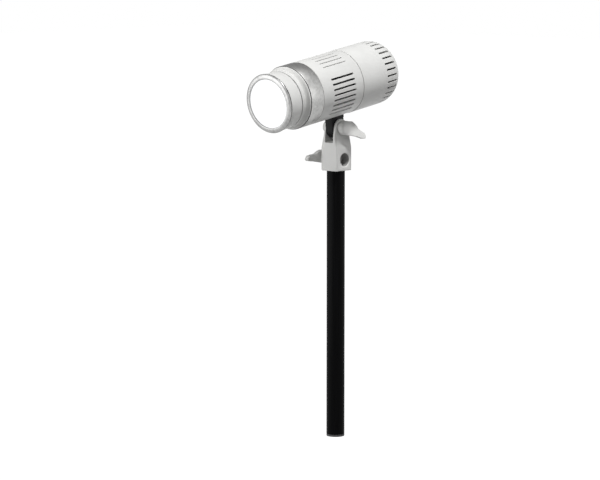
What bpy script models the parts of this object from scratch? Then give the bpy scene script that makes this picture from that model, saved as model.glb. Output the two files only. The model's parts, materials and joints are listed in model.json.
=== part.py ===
"""LED photography spotlight on a stand tube, as separate named pieces.

World frame: origin at the centre of the stand tube's foot, +Z up, the head
shines towards -Y, the tilt axis runs along X.
Head frame: the y station runs along the head's axis, front negative, zero
above the tilt pivot; x and z cross it.
"""

import bmesh
import bpy
from math import cos, pi, radians, sin, tau
from mathutils import Matrix, Vector

MM = 0.001
GAP = 0.3

# Stand tube and stud
TUBE_RADIUS = 11.0
TUBE_WALL = 1.5
TUBE_TOP = 324.3
PLUG_FLANGE = 2.5
PLUG_DEPTH = 22.0
STUD_RADIUS = 8.0
STUD_FOOT_DEPTH = 34.0
STUD_TOP = 352.0
STUD_WAIST_RADIUS = 6.4
STUD_WAIST_HALF = 5.0

# Clamp casting
CLAMP_WIDTH = 25.4
CLAMP_DEPTH = 25.8
CLAMP_BASE = TUBE_TOP + GAP
CLAMP_SHOULDER = 353.0
CLAMP_EAR_START = 367.0
EAR_OUTER = 9.8
EAR_RADIUS = 10.6
FORK_GAP = 13.0
FORK_FLOOR = 358.4
SOCKET_HEIGHT = 339.2
SOCKET_OFFSET = 2.0
SOCKET_RADIUS = 8.0
STUD_BORE_RADIUS = 8.4
STUD_BORE_TOP = 352.6

# Tilt pivot and its fittings
PIVOT_HEIGHT = 376.6
BOLT_RADIUS = 4.0
BOLT_HOLE = 4.4
BOLT_CAP_RADIUS = 7.0
BOLT_CAP_FACE = 16.3
WASHER_RADIUS = 9.0

# Wing levers
LEVER_REACH = 28.4
LEVER_HUB_RADIUS = 8.6
LEVER_HUB_LENGTH = 8.8
LEVER_ARM_BASE = 1.9
LEVER_ARM_THICKNESS = 6.0
LEVER_RISE = 0.26
LEVER_TIP_RADIUS = 4.6
LEVER_BULGE_CENTRE = (8.4, 0.4)
LEVER_BULGE_RADIUS = 10.4
LEVER_BORE_DEPTH = 6.6
INSERT_RADIUS = 6.6
INSERT_DEPTH = 5.4
TILT_LEVER_ANGLE = -22.0
LOCK_LEVER_ANGLE = 2.0
LOCK_LEVER_SCALE = 0.88

# Tongue between the ears
BRACKET_HALF = 5.6
BRACKET_FRONT = -11.2
BRACKET_REAR = 8.4
BRACKET_FOOT_HALF = 6.3
BRACKET_FOOT_START = 10.8
BRACKET_SCREWS = (-6.6, 3.6)

# Head
HEAD_PITCH = 9.1
HEAD_RISE = 52.5
BODY_RADIUS = 38.4
BODY_WALL = 2.0
BODY_FRONT = -55.8
BODY_REAR = 15.5
CAP_RADIUS = 39.0
CAP_WALL = 2.2
CAP_FRONT = 15.8
CAP_BEND_START = 70.0
CAP_BEND_RADIUS = 24.5
CAP_BEND_ANGLE = 48.0
CAP_EDGE_RADIUS = 4.0
CAP_END = 91.6
CAP_DISH_RADIUS = 23.0
CAP_DISH_DEPTH = 1.6

# Vent slots
VENT_WIDTH = 2.3
VENT_FRONT = -37.6
VENT_REAR = 2.0
TOP_VENTS = 9
TOP_VENT_PITCH = 10.1
SIDE_VENTS = 8
SIDE_VENT_PITCH = 9.76
SIDE_VENT_CENTRE = 101.4
CAP_VENTS = 32
CAP_VENT_TURN = 1.2
CAP_VENT_FRONT = 59.3
CAP_VENT_REAR = 77.6
CAP_VENT_WIDTH = 2.1

# Focus ring, its guide and the lens barrel
RING_FRONT = -77.7
RING_REAR = -56.15
RING_RADIUS = 38.4
RING_BORE = 36.4
RING_GROOVE_FLOOR = 37.7
GUIDE_RADIUS = 36.0
GUIDE_BORE = 34.2
GUIDE_FLANGE_BORE = 31.0
SLEEVE_RADIUS = 33.8
SLEEVE_BORE = 32.0
SLEEVE_END = -57.8
PIN_STATION = -61.2
PIN_RADIUS = 1.5
PIN_COUNT = 3
FOCUS_TRAVEL = 7.0
FOCUS_TURN = 100.0
LIP_RADIUS = 37.6
BARREL_FRONT = -109.4
BARREL_STEP = -103.9
BEZEL_FRONT = -112.7
BEZEL_RADIUS = 35.9
BEZEL_OPENING = 29.2
LENS_RADIUS = 30.6
LENS_EDGE = 2.6

# Light engine and cooling
REFLECTOR_REAR = -57.4
SINK_FRONT = -52.1
SINK_BASE = 4.0
SINK_BASE_RADIUS = 36.0
SINK_FIN_END = 4.0
SINK_FIN_RADIUS = 33.0
SINK_CORE_RADIUS = 12.0
SINK_FINS = 28
SINK_FIN_THICKNESS = 1.3
JOINT_FRONT = 10.1
JOINT_REAR = 25.8
JOINT_BORE = 33.8
FAN_BRACKET_REAR = 27.7
FAN_FRONT = 28.0
FAN_DEPTH = 15.0
FAN_SIDE = 50.0
FAN_BORE = 23.5
FAN_SCREW_OFFSET = 20.0
FAN_HOLE = 1.9
FAN_BLADES = 7
FAN_HUB = 10.6

# Driver board
POST_RADIUS = 2.6
POST_ORBIT = 30.6
BOARD_FRONT = 48.2
BOARD_THICKNESS = 1.6
BOARD_RADIUS = 34.2
BOARD_HOLE = 11.0

# Controls on the rear face
KNOB_RADIUS = 8.6
KNOB_LENGTH = 9.0
ROCKER_HEIGHT = 15.6
ROCKER_AXIS_DEPTH = 2.6
ROCKER_SWING = 24.0
INLET_HEIGHT = -15.4

ROUND = 40
INNER = 24
SMALL = 10


def clear_scene():
    """Remove what the scene starts with."""
    for obj in list(bpy.data.objects):
        bpy.data.objects.remove(obj, do_unlink=True)


def material(name, colour, roughness, metallic=0.0):
    """One Principled material."""
    made = bpy.data.materials.get(name)
    if made:
        return made
    made = bpy.data.materials.new(name)
    made.use_nodes = True
    shader = made.node_tree.nodes["Principled BSDF"]
    shader.inputs["Base Color"].default_value = (*colour, 1.0)
    shader.inputs["Roughness"].default_value = roughness
    shader.inputs["Metallic"].default_value = metallic
    return made


def pale_paint():
    return material("pale_paint", (0.78, 0.78, 0.76), 0.4)


def pale_plastic():
    return material("pale_plastic", (0.72, 0.72, 0.70), 0.45)


def brushed_aluminium():
    return material("brushed_aluminium", (0.62, 0.62, 0.61), 0.3, 1.0)


def black_paint():
    return material("black_paint", (0.012, 0.012, 0.013), 0.45)


def black_plastic():
    return material("black_plastic", (0.02, 0.02, 0.022), 0.5)


def bright_steel():
    return material("bright_steel", (0.55, 0.55, 0.56), 0.28, 1.0)


def brass():
    return material("brass", (0.72, 0.52, 0.22), 0.3, 1.0)


def black_anodised():
    return material("black_anodised", (0.02, 0.02, 0.02), 0.5, 0.6)


def frosted_glass():
    return material("frosted_glass", (0.95, 0.96, 0.98), 0.5)


def mirror_metal():
    return material("mirror_metal", (0.9, 0.9, 0.9), 0.08, 1.0)


def phosphor():
    return material("phosphor", (0.95, 0.8, 0.15), 0.6)


def board_green():
    return material("board_green", (0.03, 0.22, 0.09), 0.5)


def fibre():
    return material("fibre", (0.05, 0.05, 0.05), 0.8)


def copper():
    return material("copper", (0.7, 0.33, 0.16), 0.35, 1.0)


def empty(name, location, parent=None, rotation=(0.0, 0.0, 0.0)):
    """An axis marker that carries pieces."""
    made = bpy.data.objects.new(name, None)
    bpy.context.scene.collection.objects.link(made)
    made.location = Vector(location) * MM
    made.rotation_euler = rotation
    made.parent = parent
    return made


def piece(name, bm, finish, parent=None, location=(0.0, 0.0, 0.0), rotation=(0.0, 0.0, 0.0)):
    """Turn a bmesh in millimetres into a named object."""
    bmesh.ops.remove_doubles(bm, verts=bm.verts, dist=0.001)
    bmesh.ops.recalc_face_normals(bm, faces=bm.faces)
    bmesh.ops.scale(bm, vec=(MM, MM, MM), verts=bm.verts)
    mesh = bpy.data.meshes.new(name)
    bm.to_mesh(mesh)
    bm.free()
    mesh.materials.append(finish)
    mesh.shade_smooth()
    mesh.set_sharp_from_angle(angle=radians(32))
    made = bpy.data.objects.new(name, mesh)
    bpy.context.scene.collection.objects.link(made)
    made.location = Vector(location) * MM
    made.rotation_euler = rotation
    made.parent = parent
    return made


def combine(target, tool, operation="DIFFERENCE"):
    """Apply a Boolean with a hidden tool."""
    tool.hide_render = True
    tool.display_type = "WIRE"
    change = target.modifiers.new(tool.name, "BOOLEAN")
    change.operation = operation
    change.solver = "EXACT"
    change.object = tool
    return change


AXES = {
    "X": ((1, 0, 0), (0, 0, 1)),
    "Y": ((0, 1, 0), (0, 0, 1)),
    "Z": ((0, 0, 1), (1, 0, 0)),
}


def turned_bmesh(profile, axis, segments=ROUND, ring=True):
    """Spin a profile of (station, radius) points about an axis, a flat facet on top."""
    along, outward = (Vector(part) for part in AXES[axis])
    outward.rotate(Matrix.Rotation(pi / segments, 3, along))
    bm = bmesh.new()
    corners = [bm.verts.new(along * station + outward * radius) for station, radius in profile]
    pairs = list(zip(corners, corners[1:]))
    if ring:
        pairs.append((corners[-1], corners[0]))
    for first, second in pairs:
        bm.edges.new((first, second))
    bmesh.ops.spin(bm, geom=bm.verts[:] + bm.edges[:], cent=(0, 0, 0), axis=along,
                   angle=tau, steps=segments, use_merge=True)
    bmesh.ops.remove_doubles(bm, verts=bm.verts, dist=0.001)
    return bm


def turned(name, profile, axis, finish, segments=ROUND, **place):
    """A closed ring, or a solid when the profile starts and ends on the axis."""
    on_axis = profile[0][1] == 0 and profile[-1][1] == 0
    return piece(name, turned_bmesh(profile, axis, segments, ring=not on_axis), finish, **place)


def rod(name, start, end, radius, axis, finish, segments=SMALL, **place):
    """A plain round bar with small end chamfers."""
    chamfer = min(0.4, radius * 0.2)
    profile = [(start, 0), (start, radius - chamfer), (start + chamfer, radius),
               (end - chamfer, radius), (end, radius - chamfer), (end, 0)]
    return turned(name, profile, axis, finish, segments, **place)


def bar_tool(name, start, end, radius, axis, segments=SMALL, **place):
    """A cylinder used as a cutter."""
    profile = [(start, 0), (start, radius), (end, radius), (end, 0)]
    return turned(name, profile, axis, None, segments, **place)


def block_bmesh(low, high):
    """A box between two corners."""
    low = Vector(low)
    high = Vector(high)
    bm = bmesh.new()
    bmesh.ops.create_cube(bm, size=1.0)
    bmesh.ops.scale(bm, vec=high - low, verts=bm.verts)
    bmesh.ops.translate(bm, vec=(high + low) / 2, verts=bm.verts)
    return bm


def edges_along(bm, axis_index):
    """The straight edges that run along one axis."""
    found = []
    for edge in bm.edges:
        step = edge.verts[1].co - edge.verts[0].co
        if abs(step[axis_index]) > 0.99 * step.length:
            found.append(edge)
    return found


def round_edges(bm, edges, radius, segments):
    """Bevel chosen edges in a bmesh."""
    bmesh.ops.bevel(bm, geom=edges, offset=radius, offset_type="OFFSET", segments=segments,
                    profile=0.5, affect="EDGES", material=-1)


def arc(centre, radius, start, end, steps):
    """Points on an arc, angles in degrees."""
    points = []
    for index in range(steps + 1):
        angle = radians(start + (end - start) * index / steps)
        points.append((centre[0] + radius * cos(angle), centre[1] + radius * sin(angle)))
    return points


def plate_bmesh(outline, low, high, axis):
    """Extrude a flat outline along X or Y between two stations."""
    bm = bmesh.new()
    if axis == "X":
        corners = [bm.verts.new((low, first, second)) for first, second in outline]
        push = (high - low, 0, 0)
    else:
        corners = [bm.verts.new((first, low, second)) for first, second in outline]
        push = (0, high - low, 0)
    face = bm.faces.new(corners)
    grown = bmesh.ops.extrude_face_region(bm, geom=[face])
    moved = [item for item in grown["geom"] if isinstance(item, bmesh.types.BMVert)]
    bmesh.ops.translate(bm, vec=push, verts=moved)
    return bm


# Stand


def make_stand_tube():
    inner = TUBE_RADIUS - TUBE_WALL
    foot = PLUG_FLANGE + GAP
    profile = [(foot, inner), (foot, TUBE_RADIUS), (TUBE_TOP - 0.4, TUBE_RADIUS),
               (TUBE_TOP, TUBE_RADIUS - 0.4), (TUBE_TOP, inner)]
    return turned("stand_tube", profile, "Z", black_paint(), 36)


def make_tube_end_plug():
    """Flanged plug with ribs that grip the tube's bore."""
    bore = TUBE_RADIUS - TUBE_WALL - GAP
    wall = 2.0
    profile = [(0, 0), (0, TUBE_RADIUS - 0.8), (0.8, TUBE_RADIUS), (PLUG_FLANGE, TUBE_RADIUS)]
    for rib in range(2):
        start = PLUG_FLANGE + 4.0 + rib * 7.0
        profile += [(start - 2.0, bore - 0.8), (start, bore), (start + 2.0, bore - 0.8)]
    profile.insert(4, (PLUG_FLANGE, bore - 0.8))
    profile += [(PLUG_DEPTH, bore - 1.2), (PLUG_DEPTH, bore - 0.8 - wall),
                (PLUG_FLANGE + 1.5, bore - 0.8 - wall), (PLUG_FLANGE + 1.5, 0)]
    return turned("tube_end_plug", profile, "Z", black_plastic(), 20)


def make_spigot_stud():
    """Stud with a waist that the lock pad seats in."""
    foot = TUBE_TOP - STUD_FOOT_DEPTH
    plug = TUBE_RADIUS - TUBE_WALL - GAP
    waist_low = SOCKET_HEIGHT - STUD_WAIST_HALF
    waist_high = SOCKET_HEIGHT + STUD_WAIST_HALF
    profile = [(foot, 0), (foot, plug - 1.0), (foot + 1.0, plug), (TUBE_TOP - 0.2, plug),
               (TUBE_TOP - 0.2, STUD_RADIUS),
               (waist_low - 1.6, STUD_RADIUS), (waist_low, STUD_WAIST_RADIUS),
               (waist_high, STUD_WAIST_RADIUS), (waist_high + 1.6, STUD_RADIUS),
               (STUD_TOP - 1.5, STUD_RADIUS), (STUD_TOP, STUD_RADIUS - 1.5), (STUD_TOP, 0)]
    return turned("spigot_stud", profile, "Z", bright_steel(), 24)


# Clamp


def clamp_blank():
    """Block that tapers into the two ears, before it is cut."""
    half_width = CLAMP_WIDTH / 2
    half_depth = CLAMP_DEPTH / 2
    bm = block_bmesh((-half_width, -half_depth, CLAMP_BASE), (half_width, half_depth, CLAMP_SHOULDER))
    for height, width, depth in ((CLAMP_EAR_START, EAR_OUTER, EAR_RADIUS),
                                 (PIVOT_HEIGHT + EAR_RADIUS + 4, EAR_OUTER, EAR_RADIUS)):
        top = max(bm.faces, key=lambda face: face.calc_center_median().z)
        grown = bmesh.ops.extrude_face_region(bm, geom=[top])
        moved = [item for item in grown["geom"] if isinstance(item, bmesh.types.BMVert)]
        bmesh.ops.delete(bm, geom=[top], context="FACES_ONLY")
        for corner in moved:
            corner.co.x = width if corner.co.x > 0 else -width
            corner.co.y = depth if corner.co.y > 0 else -depth
            corner.co.z = height
    upright = [edge for edge in bm.edges
               if abs(edge.verts[0].co.z - edge.verts[1].co.z) > 1.0]
    round_edges(bm, upright, 1.8, 3)
    base = [edge for edge in bm.edges if all(corner.co.z < CLAMP_BASE + 0.01 for corner in edge.verts)]
    round_edges(bm, base, 0.8, 2)
    return bm


def make_clamp_fork():
    """Casting with stud bore, side socket, lock bore, and a fork with round ears."""
    fork = piece("clamp_fork", clamp_blank(), pale_paint())
    outline = [(-CLAMP_DEPTH, CLAMP_BASE - 5), (CLAMP_DEPTH, CLAMP_BASE - 5), (CLAMP_DEPTH, PIVOT_HEIGHT - 6),
               (EAR_RADIUS, PIVOT_HEIGHT - 5.9)]
    outline += arc((0, PIVOT_HEIGHT), EAR_RADIUS, 0, 180, 12)
    outline += [(-EAR_RADIUS, PIVOT_HEIGHT - 5.9), (-CLAMP_DEPTH, PIVOT_HEIGHT - 6)]
    crown = piece("ear_crown_guide", plate_bmesh(outline, -CLAMP_WIDTH, CLAMP_WIDTH, "X"), None)
    combine(fork, crown, "INTERSECT")
    half = FORK_GAP / 2
    slot = piece("fork_gap_cutter",
                 block_bmesh((-half, -CLAMP_DEPTH, FORK_FLOOR), (half, CLAMP_DEPTH, PIVOT_HEIGHT + 40)), None)
    combine(fork, slot)
    combine(fork, bar_tool("stud_bore_cutter", CLAMP_BASE - 5, STUD_BORE_TOP, STUD_BORE_RADIUS, "Z", 28))
    combine(fork, bar_tool("socket_cutter", 1.0, CLAMP_WIDTH, SOCKET_RADIUS, "X", 28,
                           location=(0, SOCKET_OFFSET, SOCKET_HEIGHT)))
    combine(fork, bar_tool("lock_bore_cutter", -CLAMP_WIDTH, -1.0, BOLT_HOLE, "X", 16,
                           location=(0, 0, SOCKET_HEIGHT)))
    combine(fork, bar_tool("pivot_bore_cutter", -CLAMP_WIDTH, CLAMP_WIDTH, BOLT_HOLE, "X", 16,
                           location=(0, 0, PIVOT_HEIGHT)))
    return fork


def make_tilt_bolt(pivot):
    """Bolt through both ears, its end inside the lever hub."""
    return rod("tilt_bolt", -13.6, 16.0, BOLT_RADIUS, "X", bright_steel(), parent=pivot)


def make_bolt_cap(pivot):
    """Round cap over the bolt's end, outside the left ear."""
    inner = -EAR_OUTER - GAP
    floor = inner - 3.9
    outer = -BOLT_CAP_FACE
    radius = BOLT_CAP_RADIUS
    profile = [(outer, 0), (outer, radius - 1.6), (outer + 0.5, radius - 0.5), (outer + 1.6, radius),
               (inner, radius), (inner, BOLT_HOLE), (floor, BOLT_HOLE), (floor, 0)]
    return turned("bolt_cap", profile, "X", pale_plastic(), 24, parent=pivot)


def make_washers(pivot):
    """Friction washers between the ears and the tongue."""
    for side, name in ((-1, "washer_left"), (1, "washer_right")):
        inner = side * (BRACKET_HALF + 0.2)
        outer = side * (FORK_GAP / 2 - 0.2)
        profile = [(inner, BOLT_HOLE), (inner, WASHER_RADIUS), (outer, WASHER_RADIUS), (outer, BOLT_HOLE)]
        turned(name, profile, "X", fibre(), 16, parent=pivot)


def lever_arm_outline(scale):
    """Arm outline in the turning plane: a full upper side, a round tip, a straight lower side."""
    tip = (LEVER_REACH - LEVER_TIP_RADIUS, -0.6)
    outline = [(0.0, -LEVER_HUB_RADIUS + 0.4), (18.0, -5.3)]
    outline += arc(tip, LEVER_TIP_RADIUS, -80, 55, 5)
    outline += arc(LEVER_BULGE_CENTRE, LEVER_BULGE_RADIUS, 28, 105, 5)
    outline += [(0.0, LEVER_HUB_RADIUS - 0.5)]
    return [(scale * along, scale * across) for along, across in outline]


def make_lever(name, base, scale, place, pocket_radius):
    """Wing lever: a domed hub and a paddle that rises away from it."""
    hub_end = base + LEVER_HUB_LENGTH
    radius = LEVER_HUB_RADIUS * scale
    hub = [(base, 0), (base, radius - 0.6), (base + 0.6, radius), (hub_end - 1.8, radius),
           (hub_end - 0.6, radius - 0.8), (hub_end, radius - 2.4), (hub_end, 0)]
    lever = turned(name, hub, "X", pale_plastic(), 24, **place)
    arm = plate_bmesh(lever_arm_outline(scale), 0.0, LEVER_ARM_THICKNESS, "X")
    for corner in arm.verts:
        corner.co.x += base + LEVER_ARM_BASE + LEVER_RISE * max(corner.co.y - 1.0, 0.0)
    bmesh.ops.recalc_face_normals(arm, faces=arm.faces)
    rims = [edge for edge in arm.edges if edge.is_manifold and edge.calc_face_angle() > radians(60)
            and min(corner.co.y for corner in edge.verts) > 5.0]
    round_edges(arm, rims, 1.2, 2)
    wing = piece(name + "_wing", arm, None, **place)
    combine(lever, wing, "UNION")
    combine(lever, bar_tool(name + "_bore", base - 2.0, base + LEVER_BORE_DEPTH, BOLT_HOLE, "X", 16, **place))
    if pocket_radius:
        combine(lever, bar_tool(name + "_pocket", base - 2.0, base + INSERT_DEPTH, pocket_radius, "X", 6, **place))
    return lever


def make_tilt_lever(pivot):
    """Lever with a six-sided threaded insert that screws up to the ear."""
    base = EAR_OUTER + 0.4
    place = {"parent": pivot, "rotation": (radians(TILT_LEVER_ANGLE), 0, 0)}
    make_lever("tilt_lever", base, 1.0, place, INSERT_RADIUS + GAP * 1.2)
    inner = base + 0.2
    outer = base + INSERT_DEPTH - GAP
    profile = [(inner, BOLT_HOLE), (inner, INSERT_RADIUS), (outer, INSERT_RADIUS), (outer, BOLT_HOLE)]
    insert = turned("lever_insert", profile, "X", brass(), 12, **place)
    guide = bar_tool("insert_hex_guide", inner - 1, outer + 1, INSERT_RADIUS, "X", 6, **place)
    combine(insert, guide, "INTERSECT")


def make_lock_lever(lock_axis):
    """Smaller lever of the same shape, its screw, and the pad that presses on the stud."""
    base = CLAMP_WIDTH / 2 + 0.5
    place = {"parent": lock_axis, "rotation": (radians(LOCK_LEVER_ANGLE), 0, pi)}
    make_lever("lock_lever", base, LOCK_LEVER_SCALE, place, 0.0)
    rod("lock_screw", -base - LEVER_BORE_DEPTH + 0.4, -8.8, BOLT_RADIUS, "X", bright_steel(), parent=lock_axis)
    rod("lock_pad", -8.5, -STUD_WAIST_RADIUS - 0.4, 3.4, "X", brass(), parent=lock_axis)


# Head bracket


def make_tilt_bracket(pivot):
    """Black tongue with a round end, its top seated under the body."""
    half_depth = (BRACKET_REAR - BRACKET_FRONT) / 2
    middle = (BRACKET_REAR + BRACKET_FRONT) / 2
    end_centre = -0.9
    top = HEAD_RISE - BODY_RADIUS + 8.0
    outline = [(BRACKET_REAR, top), (BRACKET_FRONT, top)]
    outline += arc((middle, end_centre), half_depth, 180, 360, 10)
    bracket = piece("tilt_bracket", plate_bmesh(outline, -BRACKET_HALF, BRACKET_HALF, "X"),
                    black_paint(), parent=pivot)
    foot = piece("bracket_foot_guide",
                 block_bmesh((-BRACKET_FOOT_HALF, BRACKET_FRONT + 0.01, BRACKET_FOOT_START),
                             (BRACKET_FOOT_HALF, BRACKET_REAR - 0.01, top - 1.0)), None, parent=pivot)
    combine(bracket, foot, "UNION")
    seat = bar_tool("bracket_seat_cutter", -30, 30, BODY_RADIUS + GAP, "Y", 2 * ROUND,
                    parent=pivot, location=(0, 0, HEAD_RISE))
    combine(bracket, seat)
    combine(bracket, bar_tool("bracket_bolt_cutter", -12, 12, BOLT_HOLE, "X", 16, parent=pivot))
    for number, station in enumerate(BRACKET_SCREWS):
        combine(bracket, bar_tool("bracket_thread_cutter_%d" % number, 6.4, 30, 1.9, "Z", 10,
                                  parent=pivot, location=(0, station, 0)))
    return bracket


def make_bracket_screws(pivot):
    """Cap screws from inside the body, down into the tongue."""
    seat = HEAD_RISE - (BODY_RADIUS - BODY_WALL) + 0.5
    head = 2.0
    for name, station in zip(("bracket_screw_front", "bracket_screw_rear"), BRACKET_SCREWS):
        profile = [(7.2, 0), (7.2, 1.5), (seat, 1.5), (seat, 3.0), (seat + head, 3.0), (seat + head, 1.4),
                   (seat + 0.9, 1.4), (seat + 0.9, 0)]
        turned(name, profile, "Z", bright_steel(), 10, parent=pivot, location=(0, station, 0))


# Housing


def around(angle):
    """Turn about the head's axis by degrees from the top, towards +X."""
    return (0.0, radians(angle), 0.0)


def vent_tool(name, angles, front, rear, width, low, high, head_axis, segments=2):
    """Round-ended slots, one at each angle, as one cutter."""
    bm = bmesh.new()
    for angle in angles:
        one = block_bmesh((-width / 2, front, low), (width / 2, rear, high))
        round_edges(one, edges_along(one, 2), width * 0.49, segments)
        bmesh.ops.rotate(one, verts=one.verts, matrix=Matrix.Rotation(radians(angle), 3, "Y"))
        stock = bpy.data.meshes.new("slot_stock")
        one.to_mesh(stock)
        one.free()
        bm.from_mesh(stock)
        bpy.data.meshes.remove(stock)
    return piece(name, bm, None, parent=head_axis)


def body_vent_angles():
    """Nine slots on top, eight on each side."""
    top = [(index - (TOP_VENTS - 1) / 2) * TOP_VENT_PITCH for index in range(TOP_VENTS)]
    side = [SIDE_VENT_CENTRE + (index - (SIDE_VENTS - 1) / 2) * SIDE_VENT_PITCH for index in range(SIDE_VENTS)]
    return top + side + [-angle for angle in side]


def make_body_shell(head_axis):
    """Vented tube with holes for the bracket screws."""
    outer = BODY_RADIUS
    inner = BODY_RADIUS - BODY_WALL
    profile = [(BODY_FRONT, inner), (BODY_FRONT, outer - 0.5), (BODY_FRONT + 0.5, outer),
               (BODY_REAR - 0.4, outer), (BODY_REAR, outer - 0.4), (BODY_REAR, inner)]
    shell = turned("body_shell", profile, "Y", pale_paint(), ROUND, parent=head_axis)
    combine(shell, vent_tool("body_vent_cutter", body_vent_angles(), VENT_FRONT, VENT_REAR, VENT_WIDTH,
                             inner - 3, outer + 3, head_axis, segments=1))
    for number, station in enumerate(BRACKET_SCREWS):
        combine(shell, bar_tool("body_screw_cutter_%d" % number, -outer - 3, -inner + 3, 1.9, "Z", 10,
                                parent=head_axis, location=(0, station, 0)))
    return shell


def cap_outline():
    """Outer line of the cap: straight, a long bend, then a tight edge to the flat end."""
    centre_radius = CAP_RADIUS - CAP_BEND_RADIUS
    line = [(CAP_FRONT + 0.4, CAP_RADIUS)]
    bend_steps = 4
    for index in range(bend_steps + 1):
        angle = radians(CAP_BEND_ANGLE * index / bend_steps)
        line.append((CAP_BEND_START + CAP_BEND_RADIUS * sin(angle),
                     centre_radius + CAP_BEND_RADIUS * cos(angle)))
    turn = radians(CAP_BEND_ANGLE)
    edge_station, edge_radius = line[-1]
    edge = CAP_EDGE_RADIUS
    reach = edge * (1 - sin(turn))
    slope_run = (CAP_END - edge_station - reach) / sin(pi / 2 - turn)
    start = (edge_station + slope_run * cos(turn), edge_radius - slope_run * sin(turn))
    centre = (start[0] - edge * sin(turn), start[1] - edge * cos(turn))
    edge_steps = 2
    for index in range(edge_steps + 1):
        angle = turn + (pi / 2 - turn) * index / edge_steps
        line.append((centre[0] + edge * sin(angle), centre[1] + edge * cos(angle)))
    return line


def make_rear_cap(head_axis):
    """Vented cap with a dished end that holds the controls."""
    line = cap_outline()
    dish = CAP_DISH_RADIUS
    floor = CAP_END - CAP_DISH_DEPTH
    wall_inner = floor - CAP_WALL
    bore = CAP_RADIUS - CAP_WALL
    outer_part = [(CAP_FRONT, CAP_RADIUS - 0.4)] + line + [(CAP_END, dish + 0.6), (floor, dish), (floor, 0)]
    inner_part = [(wall_inner, 0), (wall_inner, 26.0), (CAP_VENT_REAR + 0.6, 35.2), (CAP_BEND_START, bore),
                  (CAP_FRONT, bore)]
    profile = outer_part[::-1] + inner_part[::-1]
    cap = turned("rear_cap", profile, "Y", pale_paint(), ROUND, parent=head_axis)
    angles = [CAP_VENT_TURN + index * 360 / CAP_VENTS for index in range(CAP_VENTS)]
    combine(cap, vent_tool("cap_vent_cutter", angles, CAP_VENT_FRONT, CAP_VENT_REAR, CAP_VENT_WIDTH,
                           31.0, CAP_RADIUS + 3, head_axis, segments=1))
    front = wall_inner - 5.0
    rear = CAP_END + 5.0
    combine(cap, bar_tool("dimmer_bush_cutter", front, rear, 3.9, "Y", 16, parent=head_axis))
    window = block_bmesh((-6.9, front, ROCKER_HEIGHT - 4.6), (6.9, rear, ROCKER_HEIGHT + 4.6))
    combine(cap, piece("rocker_window_cutter", window, None, parent=head_axis))
    combine(cap, bar_tool("inlet_hole_cutter", front, rear, 4.4, "Y", 16, parent=head_axis,
                          location=(0, 0, INLET_HEIGHT)))
    return cap


def make_joint_ring(head_axis):
    """Coupling ring that the body and the cap both slide over."""
    body_fit = BODY_RADIUS - BODY_WALL - GAP
    cap_fit = CAP_RADIUS - CAP_WALL - GAP
    step = CAP_FRONT + 0.6
    profile = [(JOINT_FRONT, JOINT_BORE), (JOINT_FRONT, body_fit), (step, body_fit), (step, cap_fit),
               (JOINT_REAR, cap_fit), (JOINT_REAR, JOINT_BORE)]
    return turned("joint_ring", profile, "Y", black_anodised(), INNER, parent=head_axis)


# Focus ring and lens barrel


def pin_angles():
    return [index * 360 / PIN_COUNT + 30 for index in range(PIN_COUNT)]


def make_focus_ring(head_axis):
    """Brushed ring with a helical groove inside for each pin."""
    outer = RING_RADIUS
    profile = [(RING_FRONT, RING_BORE), (RING_FRONT, outer - 0.35), (RING_FRONT + 0.35, outer),
               (RING_REAR - 0.35, outer), (RING_REAR, outer - 0.35), (RING_REAR, RING_BORE)]
    ring = turned("focus_ring", profile, "Y", brushed_aluminium(), ROUND, parent=head_axis)
    half_width = PIN_RADIUS + 0.5
    turn = FOCUS_TURN + 8.0
    steps = 9
    bm = bmesh.new()
    for angle in pin_angles():
        mouth = RING_BORE - 1.5
        start_angle = radians(angle + 4.0)
        start_station = PIN_STATION + FOCUS_TRAVEL * 4.0 / FOCUS_TURN
        corners = []
        for station, radius in ((-half_width, mouth), (half_width, mouth),
                                (half_width, RING_GROOVE_FLOOR), (-half_width, RING_GROOVE_FLOOR)):
            spot = Vector((radius * sin(start_angle), start_station + station, radius * cos(start_angle)))
            corners.append(bm.verts.new(spot))
        face = bm.faces.new(corners)
        bmesh.ops.spin(bm, geom=[face], cent=(0, 0, 0), axis=(0, 1, 0), angle=-radians(turn),
                       dvec=(0, -FOCUS_TRAVEL * turn / FOCUS_TURN / steps, 0), steps=steps)
    groove = piece("cam_groove_cutter", bm, None, parent=head_axis)
    combine(ring, groove)
    return ring


def make_guide_tube(head_axis):
    """Fixed tube with a straight slot for each pin and a flange in the body."""
    flange_front = BODY_FRONT + 0.2
    body_fit = BODY_RADIUS - BODY_WALL - GAP
    profile = [(RING_FRONT + 0.8, GUIDE_BORE), (RING_FRONT + 0.8, GUIDE_RADIUS), (flange_front, GUIDE_RADIUS),
               (flange_front, body_fit), (SINK_FRONT - GAP, body_fit), (SINK_FRONT - GAP, GUIDE_FLANGE_BORE),
               (flange_front, GUIDE_FLANGE_BORE), (flange_front, GUIDE_BORE)]
    guide = turned("guide_tube", profile, "Y", black_anodised(), INNER, parent=head_axis)
    front = PIN_STATION - FOCUS_TRAVEL - 2.2
    rear = PIN_STATION + 2.2
    slots = vent_tool("guide_slot_cutter", pin_angles(), front, rear, 2 * PIN_RADIUS + 0.9,
                      GUIDE_BORE - 2, GUIDE_RADIUS + 2, head_axis)
    combine(guide, slots)
    return guide


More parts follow.
